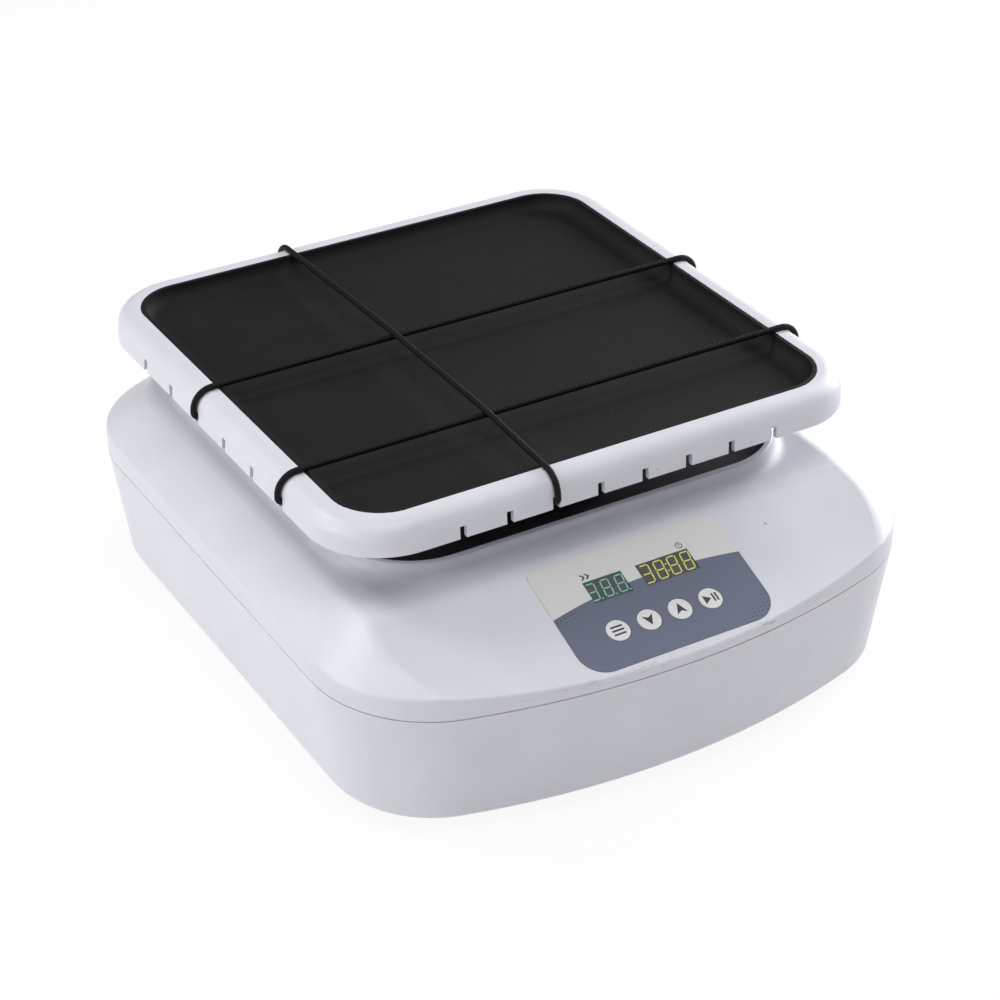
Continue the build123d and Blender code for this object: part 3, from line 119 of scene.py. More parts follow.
def noise(tree, vector, scale, detail=3.0, rough=0.5):
    node = addNode(tree, "ShaderNodeTexNoise")
    plug(tree, vector, node.inputs["Vector"])
    plug(tree, scale, node.inputs["Scale"])
    node.inputs["Detail"].default_value = detail
    node.inputs["Roughness"].default_value = rough
    return node.outputs["Fac"]


def objectPlace(tree):
    return addNode(tree, "ShaderNodeTexCoord").outputs["Object"]


def stretched(tree, vector, scale, turn=(0, 0, 0)):
    node = addNode(tree, "ShaderNodeMapping")
    plug(tree, vector, node.inputs["Vector"])
    plug(tree, scale, node.inputs["Scale"])
    plug(tree, turn, node.inputs["Rotation"])
    return node.outputs[0]


def axesOf(tree, vector):
    node = addNode(tree, "ShaderNodeSeparateXYZ")
    plug(tree, vector, node.inputs[0])
    return node.outputs


def newGroup(name, inputs, outputs):
    group = bpy.data.node_groups.new(name, "ShaderNodeTree")
    for label, value in inputs.items():
        socket = group.interface.new_socket(label, in_out="INPUT", socket_type="NodeSocketFloat")
        socket.default_value = value
    for label in outputs:
        group.interface.new_socket(label, in_out="OUTPUT", socket_type="NodeSocketFloat")
    return group, group.nodes.new("NodeGroupInput").outputs, group.nodes.new("NodeGroupOutput").inputs


# effects that several finishes share; scales count waves per metre
noiseBand = (0.3, 0.7)          # nearly all of a noise lies between these
marking = {"cell": 95.0, "rare": 0.82, "speckEdge": 0.05, "lean": (0.3, 0.2, 0.9), "streak": (35, 420, 200),
           "streakBand": (0.64, 0.78), "patch": 16.0, "patchBand": (0.56, 0.72)}
stain = 120.0                   # slow change of tone over ground metal


def makeMouldSkin():
    # fine orange peel of a moulded wall, with slow waviness of its gloss
    group, given, result = newGroup("mouldSkin", {"Grain": 1400.0, "Wave": 30.0}, ("Height", "Gloss"))
    place = objectPlace(group)
    group.links.new(noise(group, place, given["Grain"], 2.0), result["Height"])
    group.links.new(noise(group, place, given["Wave"]), result["Gloss"])
    return group


def makeHandlingMarks():
    # sparse specks, and short scuffs where a slow noise lets them through
    group, given, result = newGroup("handlingMarks", {"Specks": 0.1, "Scuffs": 0.5}, ("Specks", "Scuffs"))
    place = objectPlace(group)
    cells = addNode(group, "ShaderNodeTexVoronoi", voronoi_dimensions="3D", feature="F1")
    plug(group, place, cells.inputs["Vector"])
    cells.inputs["Scale"].default_value = marking["cell"]
    tint = addNode(group, "ShaderNodeSeparateColor")
    group.links.new(cells.outputs["Color"], tint.inputs[0])
    size = product(group, tint.outputs[0], given["Specks"])
    chosen = math(group, "GREATER_THAN", tint.outputs[1], marking["rare"])
    dot = remap(group, math(group, "SUBTRACT", size, cells.outputs["Distance"]), 0.0, marking["speckEdge"])
    group.links.new(product(group, dot, chosen), result["Specks"])
    lines = noise(group, stretched(group, place, marking["streak"], marking["lean"]), 1.0, 4.0, 0.6)
    streak = remap(group, lines, *marking["streakBand"])
    where = remap(group, noise(group, place, marking["patch"], 2.0), *marking["patchBand"])
    group.links.new(product(group, streak, where, given["Scuffs"]), result["Scuffs"])
    return group


def makeBrushing():
    # turning and grinding lines across a metal part
    group, given, result = newGroup("brushing", {"Along": 60.0, "Across": 2600.0}, ("Height", "Tone"))
    place = objectPlace(group)
    scale = addNode(group, "ShaderNodeCombineXYZ")
    for socket, name in zip(scale.inputs, ("Along", "Across", "Along")):
        group.links.new(given[name], socket)
    lines = noise(group, stretched(group, place, scale.outputs[0]), 1.0, 3.0, 0.6)
    group.links.new(lines, result["Height"])
    group.links.new(noise(group, place, stain, 2.0), result["Tone"])
    return group


mouldSkin = makeMouldSkin()
handlingMarks = makeHandlingMarks()
brushing = makeBrushing()


def useGroup(tree, group, **values):
    node = addNode(tree, "ShaderNodeGroup", node_tree=group)
    for name, value in values.items():
        plug(tree, value, node.inputs[name])
    return node.outputs


def addBump(tree, shader, height, strength, distance):
    bump = addNode(tree, "ShaderNodeBump")
    bump.inputs["Strength"].default_value = strength
    bump.inputs["Distance"].default_value = distance
    plug(tree, height, bump.inputs["Height"])
    tree.links.new(bump.outputs[0], shader.inputs["Normal"])


def newMaterial(name):
    material = bpy.data.materials.new(name)
    material.use_nodes = True
    tree = material.node_tree
    return material, tree, tree.nodes["Principled BSDF"]


def crestWear(tree, band):
    # rubbed streaks along the front crest of the cover
    place = objectPlace(tree)
    axes = axesOf(tree, place)
    middle = (band["low"] + band["high"]) / 2
    above = remap(tree, axes[2], band["low"], middle)
    under = remap(tree, axes[2], band["high"], middle)
    front = remap(tree, axes[1], band["front"], band["back"])
    lines = noise(tree, stretched(tree, place, band["streak"]), 1.0, 5.0, 0.7)
    streaks = remap(tree, lines, *band["streakBand"])
    patches = remap(tree, noise(tree, place, band["patch"], 2.0), *band["patchBand"])
    return product(tree, streaks, patches, product(tree, above, under, front))


# a moulded wall's tone and gloss wander a little with its skin, and scuffs dull it
moulding = {"tone": (0.97, 1.02), "smoother": 0.04, "duller": 0.05, "scuffDull": 0.3, "relief": 0.1 * mm}


def makePlastic(name, facts):
    material, tree, shader = newMaterial(name)
    skin = useGroup(tree, mouldSkin, Grain=facts["grain"])
    marks = useGroup(tree, handlingMarks, Specks=facts["specks"], Scuffs=facts["scuffs"])
    clean = addNode(tree, "ShaderNodeVectorMath", operation="SCALE")
    clean.inputs[0].default_value = facts["color"]
    plug(tree, remap(tree, skin["Gloss"], *noiseBand, *moulding["tone"]), clean.inputs["Scale"])
    dirty = mixColor(tree, marks["Scuffs"], clean.outputs[0], facts["scuffColor"])
    surface = mixColor(tree, marks["Specks"], dirty, facts["speckColor"])
    if "crest" in facts:
        surface = mixColor(tree, crestWear(tree, facts["crest"]), surface, facts["crest"]["color"])
    plug(tree, surface, shader.inputs["Base Color"])
    rough = remap(tree, skin["Gloss"], *noiseBand, facts["rough"] - moulding["smoother"],
                  facts["rough"] + moulding["duller"])
    worn = math(tree, "ADD", rough, product(tree, marks["Scuffs"], moulding["scuffDull"]))
    plug(tree, worn, shader.inputs["Roughness"])
    addBump(tree, shader, skin["Height"], facts["bump"], moulding["relief"])
    return material


# what a metal has unless it says otherwise
plainMetal = {"along": 60.0, "across": 2600.0, "metal": 1.0, "bump": 0.15, "toneBand": (0.35, 0.65),
              "spread": 0.08, "relief": 0.05 * mm}


def makeMetal(name, changes):
    facts = {**plainMetal, **changes}
    material, tree, shader = newMaterial(name)
    lines = useGroup(tree, brushing, Along=facts["along"], Across=facts["across"])
    base = mixColor(tree, remap(tree, lines["Tone"], *facts["toneBand"]), facts["dark"], facts["light"])
    plug(tree, base, shader.inputs["Base Color"])
    shader.inputs["Metallic"].default_value = facts["metal"]
    rough = remap(tree, lines["Height"], *noiseBand, facts["rough"] - facts["spread"],
                  facts["rough"] + facts["spread"])
    plug(tree, rough, shader.inputs["Roughness"])
    addBump(tree, shader, lines["Height"], facts["bump"], facts["relief"])
    return material


def makeMat():
    # moulded rubber: fine leathery grain, a faint bloom of dust in its hollow
    facts = {"color": (0.0090, 0.0093, 0.0098), "dust": (0.050, 0.053, 0.058), "rough": (0.58, 0.78),
             "grain": 900.0, "grainShare": 0.7, "fine": 2600.0, "bloom": 14.0, "bloomBand": (0.45, 0.8),
             "bloomShare": 0.12, "scuffs": 0.35, "scuffShare": 0.6, "shine": 0.22, "bump": 0.35,
             "relief": 0.25 * mm}
    material, tree, shader = newMaterial("matRubber")
    place = objectPlace(tree)
    grain = addNode(tree, "ShaderNodeTexVoronoi", feature="F1")
    plug(tree, place, grain.inputs["Vector"])
    grain.inputs["Scale"].default_value = facts["grain"]
    fine = noise(tree, place, facts["fine"], 2.0)
    height = math(tree, "ADD", product(tree, grain.outputs["Distance"], facts["grainShare"]), fine)
    bloom = remap(tree, noise(tree, place, facts["bloom"], 4.0, 0.65), *facts["bloomBand"])
    marks = useGroup(tree, handlingMarks, Scuffs=facts["scuffs"])
    dusty = mixColor(tree, product(tree, bloom, facts["bloomShare"]), facts["color"], facts["dust"])
    scuffed = mixColor(tree, product(tree, marks["Scuffs"], facts["scuffShare"]), dusty, facts["dust"])
    plug(tree, scuffed, shader.inputs["Base Color"])
    plug(tree, remap(tree, fine, *noiseBand, *facts["rough"]), shader.inputs["Roughness"])
    shader.inputs["Specular IOR Level"].default_value = facts["shine"]
    addBump(tree, shader, height, facts["bump"], facts["relief"])
    return material


def makeCordCover(name, middle, alongY):
    # braided sleeve of an elastic cord: two helices that cross, followed over the rim and down
    facts = {"dark": (0.003, 0.003, 0.003), "light": (0.009, 0.009, 0.010), "pitch": 1500.0, "lean": 1400.0,
             "rough": 0.6, "shine": 0.2, "bump": 0.6, "relief": 0.4 * mm}
    material, tree, shader = newMaterial(name)
    centred = addNode(tree, "ShaderNodeVectorMath", operation="SUBTRACT")
    plug(tree, objectPlace(tree), centred.inputs[0])
    centred.inputs[1].default_value = middle
    side, depth, rise = axesOf(tree, centred.outputs[0])
    along, across = (depth, side) if alongY else (side, depth)
    run = math(tree, "SUBTRACT", math(tree, "ABSOLUTE", along), rise)
    phase = product(tree, run, facts["pitch"])
    lean = product(tree, across, facts["lean"])
    first = math(tree, "SINE", math(tree, "ADD", phase, lean))
    second = math(tree, "SINE", math(tree, "SUBTRACT", phase, lean))
    braid = remap(tree, product(tree, first, second), -1.0, 1.0)
    plug(tree, mixColor(tree, braid, facts["dark"], facts["light"]), shader.inputs["Base Color"])
    shader.inputs["Roughness"].default_value = facts["rough"]
    shader.inputs["Specular IOR Level"].default_value = facts["shine"]
    addBump(tree, shader, braid, facts["bump"], facts["relief"])
    return material


# the crest is the top of the arc; a band's first value is where the dots end, its second where they are full
panel = {"tilt": 21.0, "crest": 9.4 * mm, "fall": 1.9, "crestAt": 8.0 * mm, "printEdge": 0.04 * mm,
         "light": (0.77, 0.765, 0.755), "dark": (0.152, 0.174, 0.245), "deep": (0.090, 0.102, 0.145),
         "dotPitch": 2.2 * mm, "dotSize": 0.34, "dotEdge": 0.03, "underArc": (0.0105, 0.0005),
         "leftSide": (-0.020, -0.046), "corner": (0.052, 0.080), "grain": 3000.0, "rough": (0.36, 0.48),
         "bump": 0.08, "relief": 0.1 * mm}
panelSkin = 0.15 * mm          # from the middle of the label's thickness up to the panel's surface
labelLow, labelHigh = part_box("control_label")
panelNormal = Vector((0, -sin(radians(panel["tilt"])), cos(radians(panel["tilt"]))))
panelMiddle = (labelLow + labelHigh) / 2 + panelNormal * panelSkin
onPanel = Matrix.Translation(panelMiddle) @ Matrix.Rotation(radians(panel["tilt"]), 4, "X")


def fromCellMiddle(tree, run):
    # distance from the middle of a dot's square cell, counted in cells; the added metre keeps it positive
    counted = math(tree, "DIVIDE", math(tree, "ADD", run, 1.0), panel["dotPitch"])
    return math(tree, "SUBTRACT", math(tree, "FRACT", counted), 0.5)


def makePanelFilm():
    # printed film: pale above and slate below a shallow arc, with two small fields of dots on the slate
    material, tree, shader = newMaterial("panelFilm")
    place = objectPlace(tree)
    flat = addNode(tree, "ShaderNodeMapping", vector_type="TEXTURE")
    flat.inputs["Location"].default_value = panelMiddle
    flat.inputs["Rotation"].default_value = (radians(panel["tilt"]), 0, 0)
    plug(tree, place, flat.inputs["Vector"])
    side, rise = axesOf(tree, flat.outputs[0])[:2]
    offset = math(tree, "SUBTRACT", side, panel["crestAt"])
    arc = math(tree, "SUBTRACT", panel["crest"], product(tree, offset, offset, panel["fall"]))
    depth = math(tree, "SUBTRACT", arc, rise)
    below = remap(tree, depth, -panel["printEdge"], panel["printEdge"])
    cells = [fromCellMiddle(tree, run) for run in (side, depth)]
    radius = math(tree, "SQRT", math(tree, "ADD", *[product(tree, cell, cell) for cell in cells]))
    underArc = product(tree, remap(tree, depth, *panel["underArc"]), remap(tree, side, *panel["leftSide"]))
    corner = remap(tree, math(tree, "SUBTRACT", side, rise), *panel["corner"])
    size = product(tree, math(tree, "MAXIMUM", underArc, corner, clamp=True), panel["dotSize"])
    dots = remap(tree, math(tree, "SUBTRACT", size, radius), 0.0, panel["dotEdge"])
    slate = mixColor(tree, dots, panel["dark"], panel["deep"])
    plug(tree, mixColor(tree, below, panel["light"], slate), shader.inputs["Base Color"])
    grain = noise(tree, place, panel["grain"], 2.0)
    plug(tree, remap(tree, grain, *noiseBand, *panel["rough"]), shader.inputs["Roughness"])
    addBump(tree, shader, grain, panel["bump"], panel["relief"])
    return material


def makeLens():
    facts = {"dark": (0.098, 0.102, 0.112), "light": (0.122, 0.126, 0.136), "haze": 160.0,
             "rough": (0.22, 0.32)}
    material, tree, shader = newMaterial("displayLens")
    haze = noise(tree, objectPlace(tree), facts["haze"])
    plug(tree, mixColor(tree, haze, facts["dark"], facts["light"]), shader.inputs["Base Color"])
    plug(tree, remap(tree, haze, *noiseBand, *facts["rough"]), shader.inputs["Roughness"])
    return material


def makeLamp(name, color):
    facts = {"grain": 900.0, "dim": 0.8, "strength": 0.6, "rough": 0.5}
    material, tree, shader = newMaterial(name)
    dim = tuple(facts["dim"] * part for part in color)
    glow = mixColor(tree, noise(tree, objectPlace(tree), facts["grain"], 2.0), dim, color)
    plug(tree, glow, shader.inputs["Base Color"])
    plug(tree, glow, shader.inputs["Emission Color"])
    shader.inputs["Emission Strength"].default_value = facts["strength"]
    shader.inputs["Roughness"].default_value = facts["rough"]
    return material


def makeBoard():
    # solder mask with copper tracks showing through as a lighter maze
    facts = {"track": 160.0, "gap": 0.05, "mask": (0.010, 0.085, 0.035), "maskAgain": (0.012, 0.100, 0.042),
             "copper": (0.030, 0.170, 0.080), "grain": 300.0, "rough": (0.25, 0.4)}
    material, tree, shader = newMaterial("circuitBoard")
    place = objectPlace(tree)
    bricks = addNode(tree, "ShaderNodeTexBrick")
    plug(tree, place, bricks.inputs["Vector"])
    bricks.inputs["Scale"].default_value = facts["track"]
    bricks.inputs["Mortar Size"].default_value = facts["gap"]
    plug(tree, facts["mask"], bricks.inputs["Color1"])
    plug(tree, facts["maskAgain"], bricks.inputs["Color2"])
    plug(tree, facts["copper"], bricks.inputs["Mortar"])
    tree.links.new(bricks.outputs["Color"], shader.inputs["Base Color"])
    grain = noise(tree, place, facts["grain"], 2.0)
    plug(tree, remap(tree, grain, *noiseBand, *facts["rough"]), shader.inputs["Roughness"])
    return material


def makeWinding():
    # turns of yellow tape round the transformer
    facts = {"turns": 180.0, "dark": (0.55, 0.38, 0.05), "light": (0.70, 0.50, 0.10), "rough": 0.35}
    material, tree, shader = newMaterial("tapedWinding")
    wave = addNode(tree, "ShaderNodeTexWave", bands_direction="Z")
    plug(tree, objectPlace(tree), wave.inputs["Vector"])
    wave.inputs["Scale"].default_value = facts["turns"]
    tape = mixColor(tree, wave.outputs["Fac"], facts["dark"], facts["light"])
    plug(tree, tape, shader.inputs["Base Color"])
    shader.inputs["Roughness"].default_value = facts["rough"]
    return material


whiteWall = {"color": (0.768, 0.780, 0.838), "rough": 0.40, "grain": 1400.0, "bump": 0.10, "specks": 0.09,
             "scuffs": 0.35, "scuffColor": (0.40, 0.36, 0.33), "speckColor": (0.42, 0.40, 0.39)}
crestBand = {"low": 0.0735, "high": 0.0775, "front": -0.160, "back": -0.170, "color": (0.40, 0.38, 0.37),
             "streak": (150, 150, 900), "streakBand": (0.52, 0.66), "patch": 24.0, "patchBand": (0.42, 0.56)}
plastics = {
    "white": whiteWall,
    "cover": {**whiteWall, "crest": crestBand},
    "key": {"color": (0.82, 0.82, 0.83), "rough": 0.42, "grain": 3000.0, "bump": 0.10, "specks": 0.0,
            "scuffs": 0.1, "scuffColor": (0.5, 0.5, 0.5), "speckColor": (0.4, 0.4, 0.4)},
    "black": {"color": (0.017, 0.017, 0.018), "rough": 0.45, "grain": 1800.0, "bump": 0.25, "specks": 0.06,
              "scuffs": 0.3, "scuffColor": (0.08, 0.08, 0.08), "speckColor": (0.12, 0.12, 0.12)},
    "rubber": {"color": (0.015, 0.015, 0.015), "rough": 0.75, "grain": 900.0, "bump": 0.3, "specks": 0.10,
               "scuffs": 0.5, "scuffColor": (0.07, 0.07, 0.07), "speckColor": (0.14, 0.13, 0.12)},
    "can": {"color": (0.02, 0.03, 0.08), "rough": 0.35, "grain": 600.0, "bump": 0.05, "specks": 0.0,
            "scuffs": 0.1, "scuffColor": (0.1, 0.1, 0.15), "speckColor": (0.2, 0.2, 0.2)},
    "ink": {"color": (0.045, 0.047, 0.055), "rough": 0.5, "grain": 3000.0, "bump": 0.05, "specks": 0.0,
            "scuffs": 0.0, "scuffColor": (0.1, 0.1, 0.1), "speckColor": (0.1, 0.1, 0.1)}}
metals = {
    "ground": {"dark": (0.50, 0.50, 0.51), "light": (0.66, 0.66, 0.67), "rough": 0.28},
    "zinc": {"dark": (0.46, 0.48, 0.50), "light": (0.62, 0.63, 0.64), "rough": 0.38, "across": 900.0},
    "cast": {"dark": (0.42, 0.43, 0.44), "light": (0.56, 0.57, 0.58), "rough": 0.50, "along": 900.0,
             "across": 900.0, "bump": 0.4},
    "bronze": {"dark": (0.42, 0.28, 0.12), "light": (0.58, 0.40, 0.18), "rough": 0.40},
    "painted": {"dark": (0.012, 0.012, 0.013), "light": (0.020, 0.020, 0.021), "rough": 0.50, "metal": 0.0,
                "along": 1200.0, "across": 1200.0, "bump": 0.35}}
finish = {name: makePlastic(name + "Plastic", facts) for name, facts in plastics.items()}
finish.update({name: makeMetal(name + "Metal", facts) for name, facts in metals.items()})
finish.update(mat=makeMat(), film=makePanelFilm(), lens=makeLens(), board=makeBoard(), winding=makeWinding())
finish.update(green=makeLamp("greenSegments", (0.14, 0.42, 0.30)),
              yellow=makeLamp("yellowSegments", (0.52, 0.52, 0.10)))
print("finishes made:", len(finish))

dressing = {
    "white": "lower_shell tray",
    "cover": "top_cover",
    "mat": "mat",
    "film": "control_label",
    "lens": "speed_display time_display",
    "key": "menu_key down_key up_key start_key",
    "board": "control_board power_board",
    "winding": "transformer",
    "can": "capacitors",
    "black": "key_switches power_inlet switch_housing switch_rocker",
    "rubber": "feet",
    "painted": "well_plate platform_frame motor",
    "zinc": "chassis_plate motor_bracket chassis_screws pedestal_screws bracket_screws gearbox_screws "
            "well_screws board_screws power_screws tray_screws case_screws foot_screws inlet_screws",
    "cast": "pedestal_front pedestal_rear gearbox rocker_fork",
    "bronze": "bush_front bush_rear crank_roller inlet_pins",
    "ground": "pivot_shaft shaft_hubs shaft_collars crank_disc crank_pin output_shaft"}


def dress(nodeName, material):
    mesh = nodes[nodeName].data
    mesh.materials.clear()
    mesh.materials.append(material)
    for face in mesh.polygons:
        face.material_index = 0


for kind, names in dressing.items():
    for name in names.split():
        dress(name, finish[kind])
for name in ("cord_long", "cord_cross_front", "cord_cross_rear"):
    low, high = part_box(name)
    dress(name, makeCordCover(name + "_cover", (low + high) / 2, name == "cord_long"))
print("nodes dressed")


# printed and lit pieces are drawn flat in millimetres, given their thickness and put in place
def flatPiece(name, draw, placing, lift, thick, material, body):
    bm = bmesh.new()
    draw(bm)
    bmesh.ops.recalc_face_normals(bm, faces=bm.faces)
    for face in bm.faces:
        if face.normal.z < 0:
            face.normal_flip()
    bmesh.ops.solidify(bm, geom=bm.faces[:], thickness=thick / mm)
    bmesh.ops.recalc_face_normals(bm, faces=bm.faces)
    bmesh.ops.translate(bm, vec=(0, 0, -min(vert.co.z for vert in bm.verts)), verts=bm.verts)
    bmesh.ops.scale(bm, vec=(mm, mm, mm), verts=bm.verts)
    bmesh.ops.transform(bm, matrix=placing @ Matrix.Translation((0, 0, lift)), verts=bm.verts)
    mesh = bpy.data.meshes.new(name)
    bm.to_mesh(mesh)
    bm.free()
    mesh.materials.append(material)
    piece = bpy.data.objects.new(name, mesh)
    scene.collection.objects.link(piece)
    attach(piece, body)


def addPolygon(bm, points):
    bm.faces.new([bm.verts.new((x, y, 0)) for x, y in points])


def addDisc(bm, x, y, radius, segments=12):
    bmesh.ops.create_circle(bm, cap_ends=True, segments=segments, radius=radius,
                            matrix=Matrix.Translation((x, y, 0)))


def addBar(bm, x, y, wide, tall):
    bmesh.ops.create_grid(bm, x_segments=1, y_segments=1, size=0.5,
                          matrix=Matrix.Translation((x, y, 0)) @ Matrix.Diagonal((wide, tall, 1, 1)))


def addRing(bm, x, y, radius, width, segments=32):
    for reach in (radius, radius - width):
        bmesh.ops.create_circle(bm, segments=segments, radius=reach, matrix=Matrix.Translation((x, y, 0)))
    bmesh.ops.bridge_loops(bm, edges=[edge for edge in bm.edges if edge.is_wire])


# before counts the pitches from the first figure to the middle, pointAt the widths from a figure to its point
digits = {"stroke": 0.62, "gap": 0.2, "slant": 0.12, "point": 0.42,
          "segments": {"3": "abcdg", "8": "abcdefg"}}
speedFace = {"middle": -18.2, "rise": 10.2, "pitch": 7.6, "tall": 9.2, "wide": 4.1, "figures": "388",
             "before": 1.05, "pointAt": 0.66, "depth": 0.1 * mm}
timeFace = {"middle": 14.5, "rise": 10.2, "pitch": 7.4, "tall": 9.9, "wide": 4.5, "figures": "3888",
            "before": 1.5, "colon": 1.9, "depth": 0.1 * mm}
lampSkin = 0.03 * mm            # thickness of a lit segment


def addDigit(bm, figure, x, face):
    tall, wide, stroke = face["tall"], face["wide"], digits["stroke"]
    # each segment's middle across and up from the figure's own, and whether it stands upright
    spots = {"a": (0, tall / 2, False), "g": (0, 0, False), "d": (0, -tall / 2, False),
             "b": (wide / 2, tall / 4, True), "c": (wide / 2, -tall / 4, True),
             "f": (-wide / 2, tall / 4, True), "e": (-wide / 2, -tall / 4, True)}
    for letter in digits["segments"][figure]:
        across, rise, upright = spots[letter]
        half = (tall / 2 if upright else wide) / 2 - digits["gap"]
        tip = stroke / 2
        outline = [(-half, 0), (-half + tip, tip), (half - tip, tip), (half, 0), (half - tip, -tip),
                   (-half + tip, -tip)]
        if upright:
            outline = [(py, px) for px, py in outline]
        addPolygon(bm, [(x + across + px + digits["slant"] * (rise + py), face["rise"] + rise + py)
                        for px, py in outline])


def drawSpeed(bm):
    foot = speedFace["rise"] - speedFace["tall"] / 2
    for i, figure in enumerate(speedFace["figures"]):
        x = speedFace["middle"] + (i - speedFace["before"]) * speedFace["pitch"]
        addDigit(bm, figure, x, speedFace)
        addDisc(bm, x + speedFace["wide"] * speedFace["pointAt"], foot, digits["point"])


def drawTime(bm):
    for i, figure in enumerate(timeFace["figures"]):
        addDigit(bm, figure, timeFace["middle"] + (i - timeFace["before"]) * timeFace["pitch"], timeFace)
    for rise in (-timeFace["colon"], timeFace["colon"]):
        addDisc(bm, timeFace["middle"] + digits["slant"] * rise, timeFace["rise"] + rise, digits["point"])


displays = {"speedDigits": (drawSpeed, speedFace, "green"), "timeDigits": (drawTime, timeFace, "yellow")}
for name, (draw, face, lamp) in displays.items():
    flatPiece(name, draw, onPanel, -face["depth"], lampSkin, finish[lamp], "base")


# outlines of the signs on the keys, from each key's middle
glyph = {"line": 0.95, "menuStep": 2.1, "menuWide": 6.2, "arrowTip": 3.3, "arrowFoot": 2.6, "arrowNotch": 1.1,
         "arrowHalf": 2.8, "playBack": 3.5, "playTip": 0.3, "playHalf": 2.4, "pauseAt": (1.6, 3.3),
         "pauseTall": 4.6}


def drawMenu(bm):
    for rise in (-glyph["menuStep"], 0, glyph["menuStep"]):
        addBar(bm, 0, rise, glyph["menuWide"], glyph["line"])


def drawArrow(bm, way):
    half, foot, notch = glyph["arrowHalf"], -glyph["arrowFoot"] * way, -glyph["arrowNotch"] * way
    addPolygon(bm, [(0, glyph["arrowTip"] * way), (half, foot), (0, notch), (-half, foot)])


def drawStart(bm):
    back, half = -glyph["playBack"], glyph["playHalf"]
    addPolygon(bm, [(back, half), (back, -half), (glyph["playTip"], 0)])
    for across in glyph["pauseAt"]:
        addBar(bm, across, 0, glyph["line"], glyph["pauseTall"])


keyGlyphs = {"menu_key": drawMenu, "down_key": lambda bm: drawArrow(bm, -1),
             "up_key": lambda bm: drawArrow(bm, 1), "start_key": drawStart}
keyFace = {"row": -13.0 * mm, "proud": 0.4 * mm, "ink": 0.03 * mm}
for name, draw in keyGlyphs.items():
    low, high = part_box(name)
    side = (low.x + high.x) / 2 - panelMiddle.x
    place = onPanel @ Matrix.Translation((side, keyFace["row"], 0))
    flatPiece(name + "_glyph", draw, place, keyFace["proud"], keyFace["ink"], finish["ink"],
              name + "_body")


chevron = {"at": (-1.7, 0.8), "half": 1.5, "back": 0.8, "elbow": 0.3, "tip": 1.7, "notch": 0.6}
clock = {"radius": 1.8, "rim": 0.42, "hand": 0.36, "long": 1.1, "longAt": 0.5, "short": 0.9, "shortAt": 0.45}


def drawSpeedSign(bm):
    # two quick chevrons
    half = chevron["half"]
    for shift in chevron["at"]:
        back, elbow = shift - chevron["back"], shift + chevron["elbow"]
        addPolygon(bm, [(back, half), (elbow, half), (shift + chevron["tip"], 0), (elbow, -half),
                        (back, -half), (shift + chevron["notch"], 0)])


def drawTimeSign(bm):
    # a small clock face
    addRing(bm, 0, 0, clock["radius"], clock["rim"])
    addBar(bm, 0, clock["longAt"], clock["hand"], clock["long"])
    addBar(bm, clock["shortAt"], 0.0, clock["short"], clock["hand"])


signs = {"speedSign": (drawSpeedSign, -25.6), "timeSign": (drawTimeSign, 26.2)}
signPlace = {"rise": 19.2 * mm, "film": 0.2 * mm, "ink": 0.02 * mm}
for name, (draw, across) in signs.items():
    place = onPanel @ Matrix.Translation((across * mm, signPlace["rise"], 0))
    flatPiece(name, draw, place, signPlace["film"], signPlace["ink"], finish["ink"], "base")
print("panel drawn")

# marks of the mains switch: a bar on the half that turns it on, a ring on the half that turns it off
rockerFace = {"rise": 3.2 * mm, "tilt": 10.0, "reach": 3.8 * mm, "ink": 0.02 * mm, "bar": (0.7, 3.2),
              "ring": (1.6, 0.55)}
rockerJoint = next(joint for joint in frame["joints"] if joint["name"] == "power_switch_rock")
tip = radians(rockerFace["tilt"])
valley = Vector(rockerJoint["pos_m"]) + rockerFace["rise"] * Vector((0, cos(tip), sin(tip)))


def drawOnMark(bm):
    addBar(bm, 0, 0, *rockerFace["bar"])


def drawOffMark(bm):
    addRing(bm, 0, 0, *rockerFace["ring"])


# which way from the valley each mark lies, and how many tilts its half leans from upright
switchMarks = {"onMark": (drawOnMark, 1, 0), "offMark": (drawOffMark, -1, 2)}
for name, (draw, way, lean) in switchMarks.items():
    face = Matrix.Rotation(radians(180), 4, "Z") @ Matrix.Rotation(radians(90) - lean * tip, 4, "X")
    place = Matrix.Translation(valley) @ face @ Matrix.Translation((0, way * rockerFace["reach"], 0))
    flatPiece(name, draw, place, 0.0, rockerFace["ink"], finish["key"], "power_switch")
print("switch marked")

# floor, background and light; cameraFloor is how much of the floor the camera sees as pure white
studio = {"world": 0.12, "sky": (0.98, 0.99, 1.0), "white": (1, 1, 1), "floor": (0.94, 0.94, 0.94),
          "cameraFloor": 0.92, "floorHalf": 6.0, "floorRough": 0.9, "floorShine": 0.1, "aim": (0, 0, 0.08)}


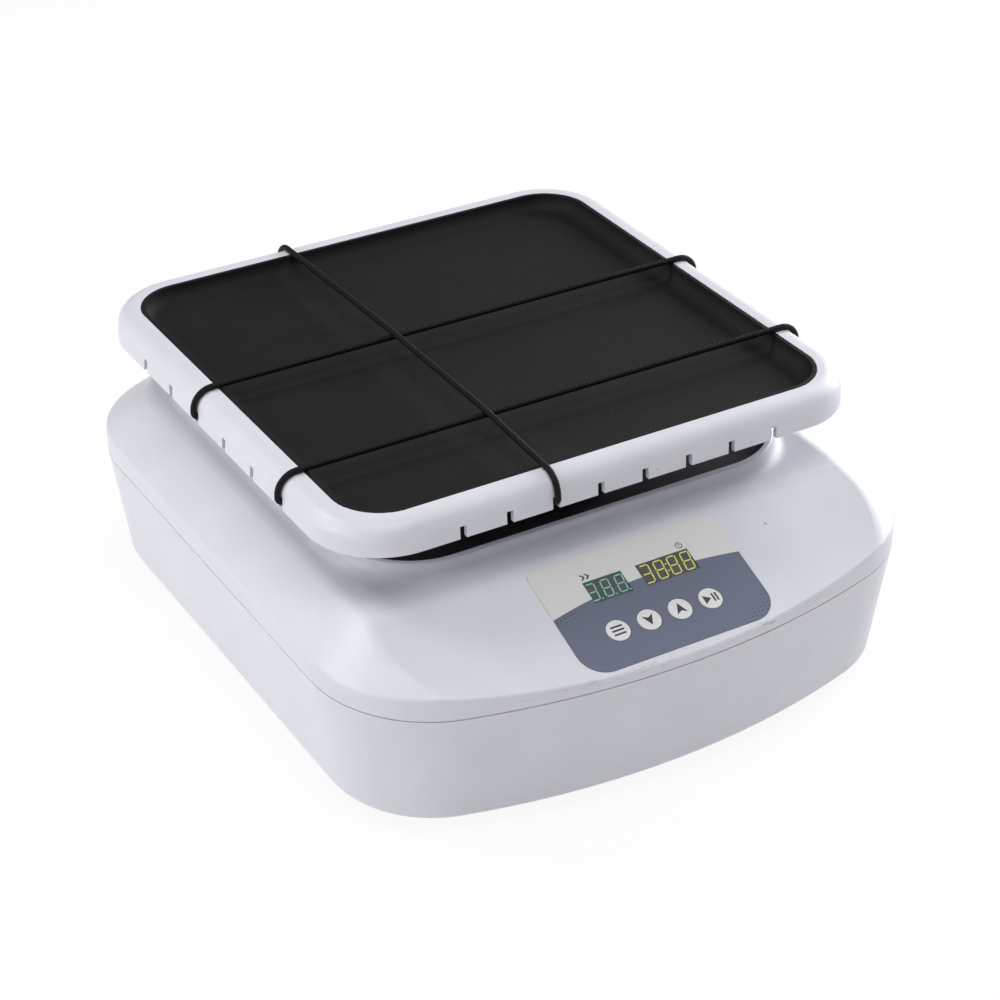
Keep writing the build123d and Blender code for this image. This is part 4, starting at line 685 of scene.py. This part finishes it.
def makeFloor():
    bm = bmesh.new()
    bmesh.ops.create_grid(bm, x_segments=1, y_segments=1, size=studio["floorHalf"])
    mesh = bpy.data.meshes.new("floor")
    bm.to_mesh(mesh)
    bm.free()
    floor = bpy.data.objects.new("floor", mesh)
    scene.collection.objects.link(floor)
    material, tree, shader = newMaterial("floorPaper")
    plug(tree, studio["floor"], shader.inputs["Base Color"])
    shader.inputs["Roughness"].default_value = studio["floorRough"]
    shader.inputs["Specular IOR Level"].default_value = studio["floorShine"]
    white = addNode(tree, "ShaderNodeEmission")
    plug(tree, studio["white"], white.inputs["Color"])
    blend = addNode(tree, "ShaderNodeMixShader")
    rays = addNode(tree, "ShaderNodeLightPath").outputs
    seen = math(tree, "MAXIMUM", rays["Is Camera Ray"], rays["Is Glossy Ray"])
    plug(tree, product(tree, seen, studio["cameraFloor"]), blend.inputs[0])
    tree.links.new(shader.outputs[0], blend.inputs[1])
    tree.links.new(white.outputs[0], blend.inputs[2])
    tree.links.new(blend.outputs[0], tree.nodes["Material Output"].inputs["Surface"])
    mesh.materials.append(material)


def makeWorld():
    world = bpy.data.worlds.new("studio")
    world.use_nodes = True
    tree = world.node_tree
    soft = tree.nodes["Background"]
    plug(tree, studio["sky"], soft.inputs["Color"])
    soft.inputs["Strength"].default_value = studio["world"]
    white = addNode(tree, "ShaderNodeBackground")
    plug(tree, studio["white"], white.inputs["Color"])
    blend = addNode(tree, "ShaderNodeMixShader")
    rays = addNode(tree, "ShaderNodeLightPath").outputs
    seen = math(tree, "MAXIMUM", rays["Is Camera Ray"], rays["Is Transmission Ray"])
    tree.links.new(seen, blend.inputs[0])
    tree.links.new(soft.outputs[0], blend.inputs[1])
    tree.links.new(white.outputs[0], blend.inputs[2])
    tree.links.new(blend.outputs[0], tree.nodes["World Output"].inputs["Surface"])
    scene.world = world


lamps = {"left": {"place": (-1.6, 0.1, 0.5), "size": 0.9, "power": 8.6},
         "rearLeft": {"place": (-1.2, 0.9, 1.6), "size": 0.5, "power": 10.8},
         "right": {"place": (1.6, 0.4, 0.6), "size": 1.2, "power": 29.0},
         "front": {"place": (-0.1, -0.65, 1.65), "size": 1.0, "power": 13.4}}


def makeLamps():
    for name, facts in lamps.items():
        data = bpy.data.lights.new(name, "AREA")
        data.size = facts["size"]
        data.energy = facts["power"]
        lamp = bpy.data.objects.new(name, data)
        place = Vector(facts["place"])
        lamp.location = place
        lamp.rotation_euler = (Vector(studio["aim"]) - place).to_track_quat("-Z", "Y").to_euler()
        scene.collection.objects.link(lamp)


makeFloor()
makeWorld()
makeLamps()
scene.view_settings.view_transform = "Standard"
print("stage lit")
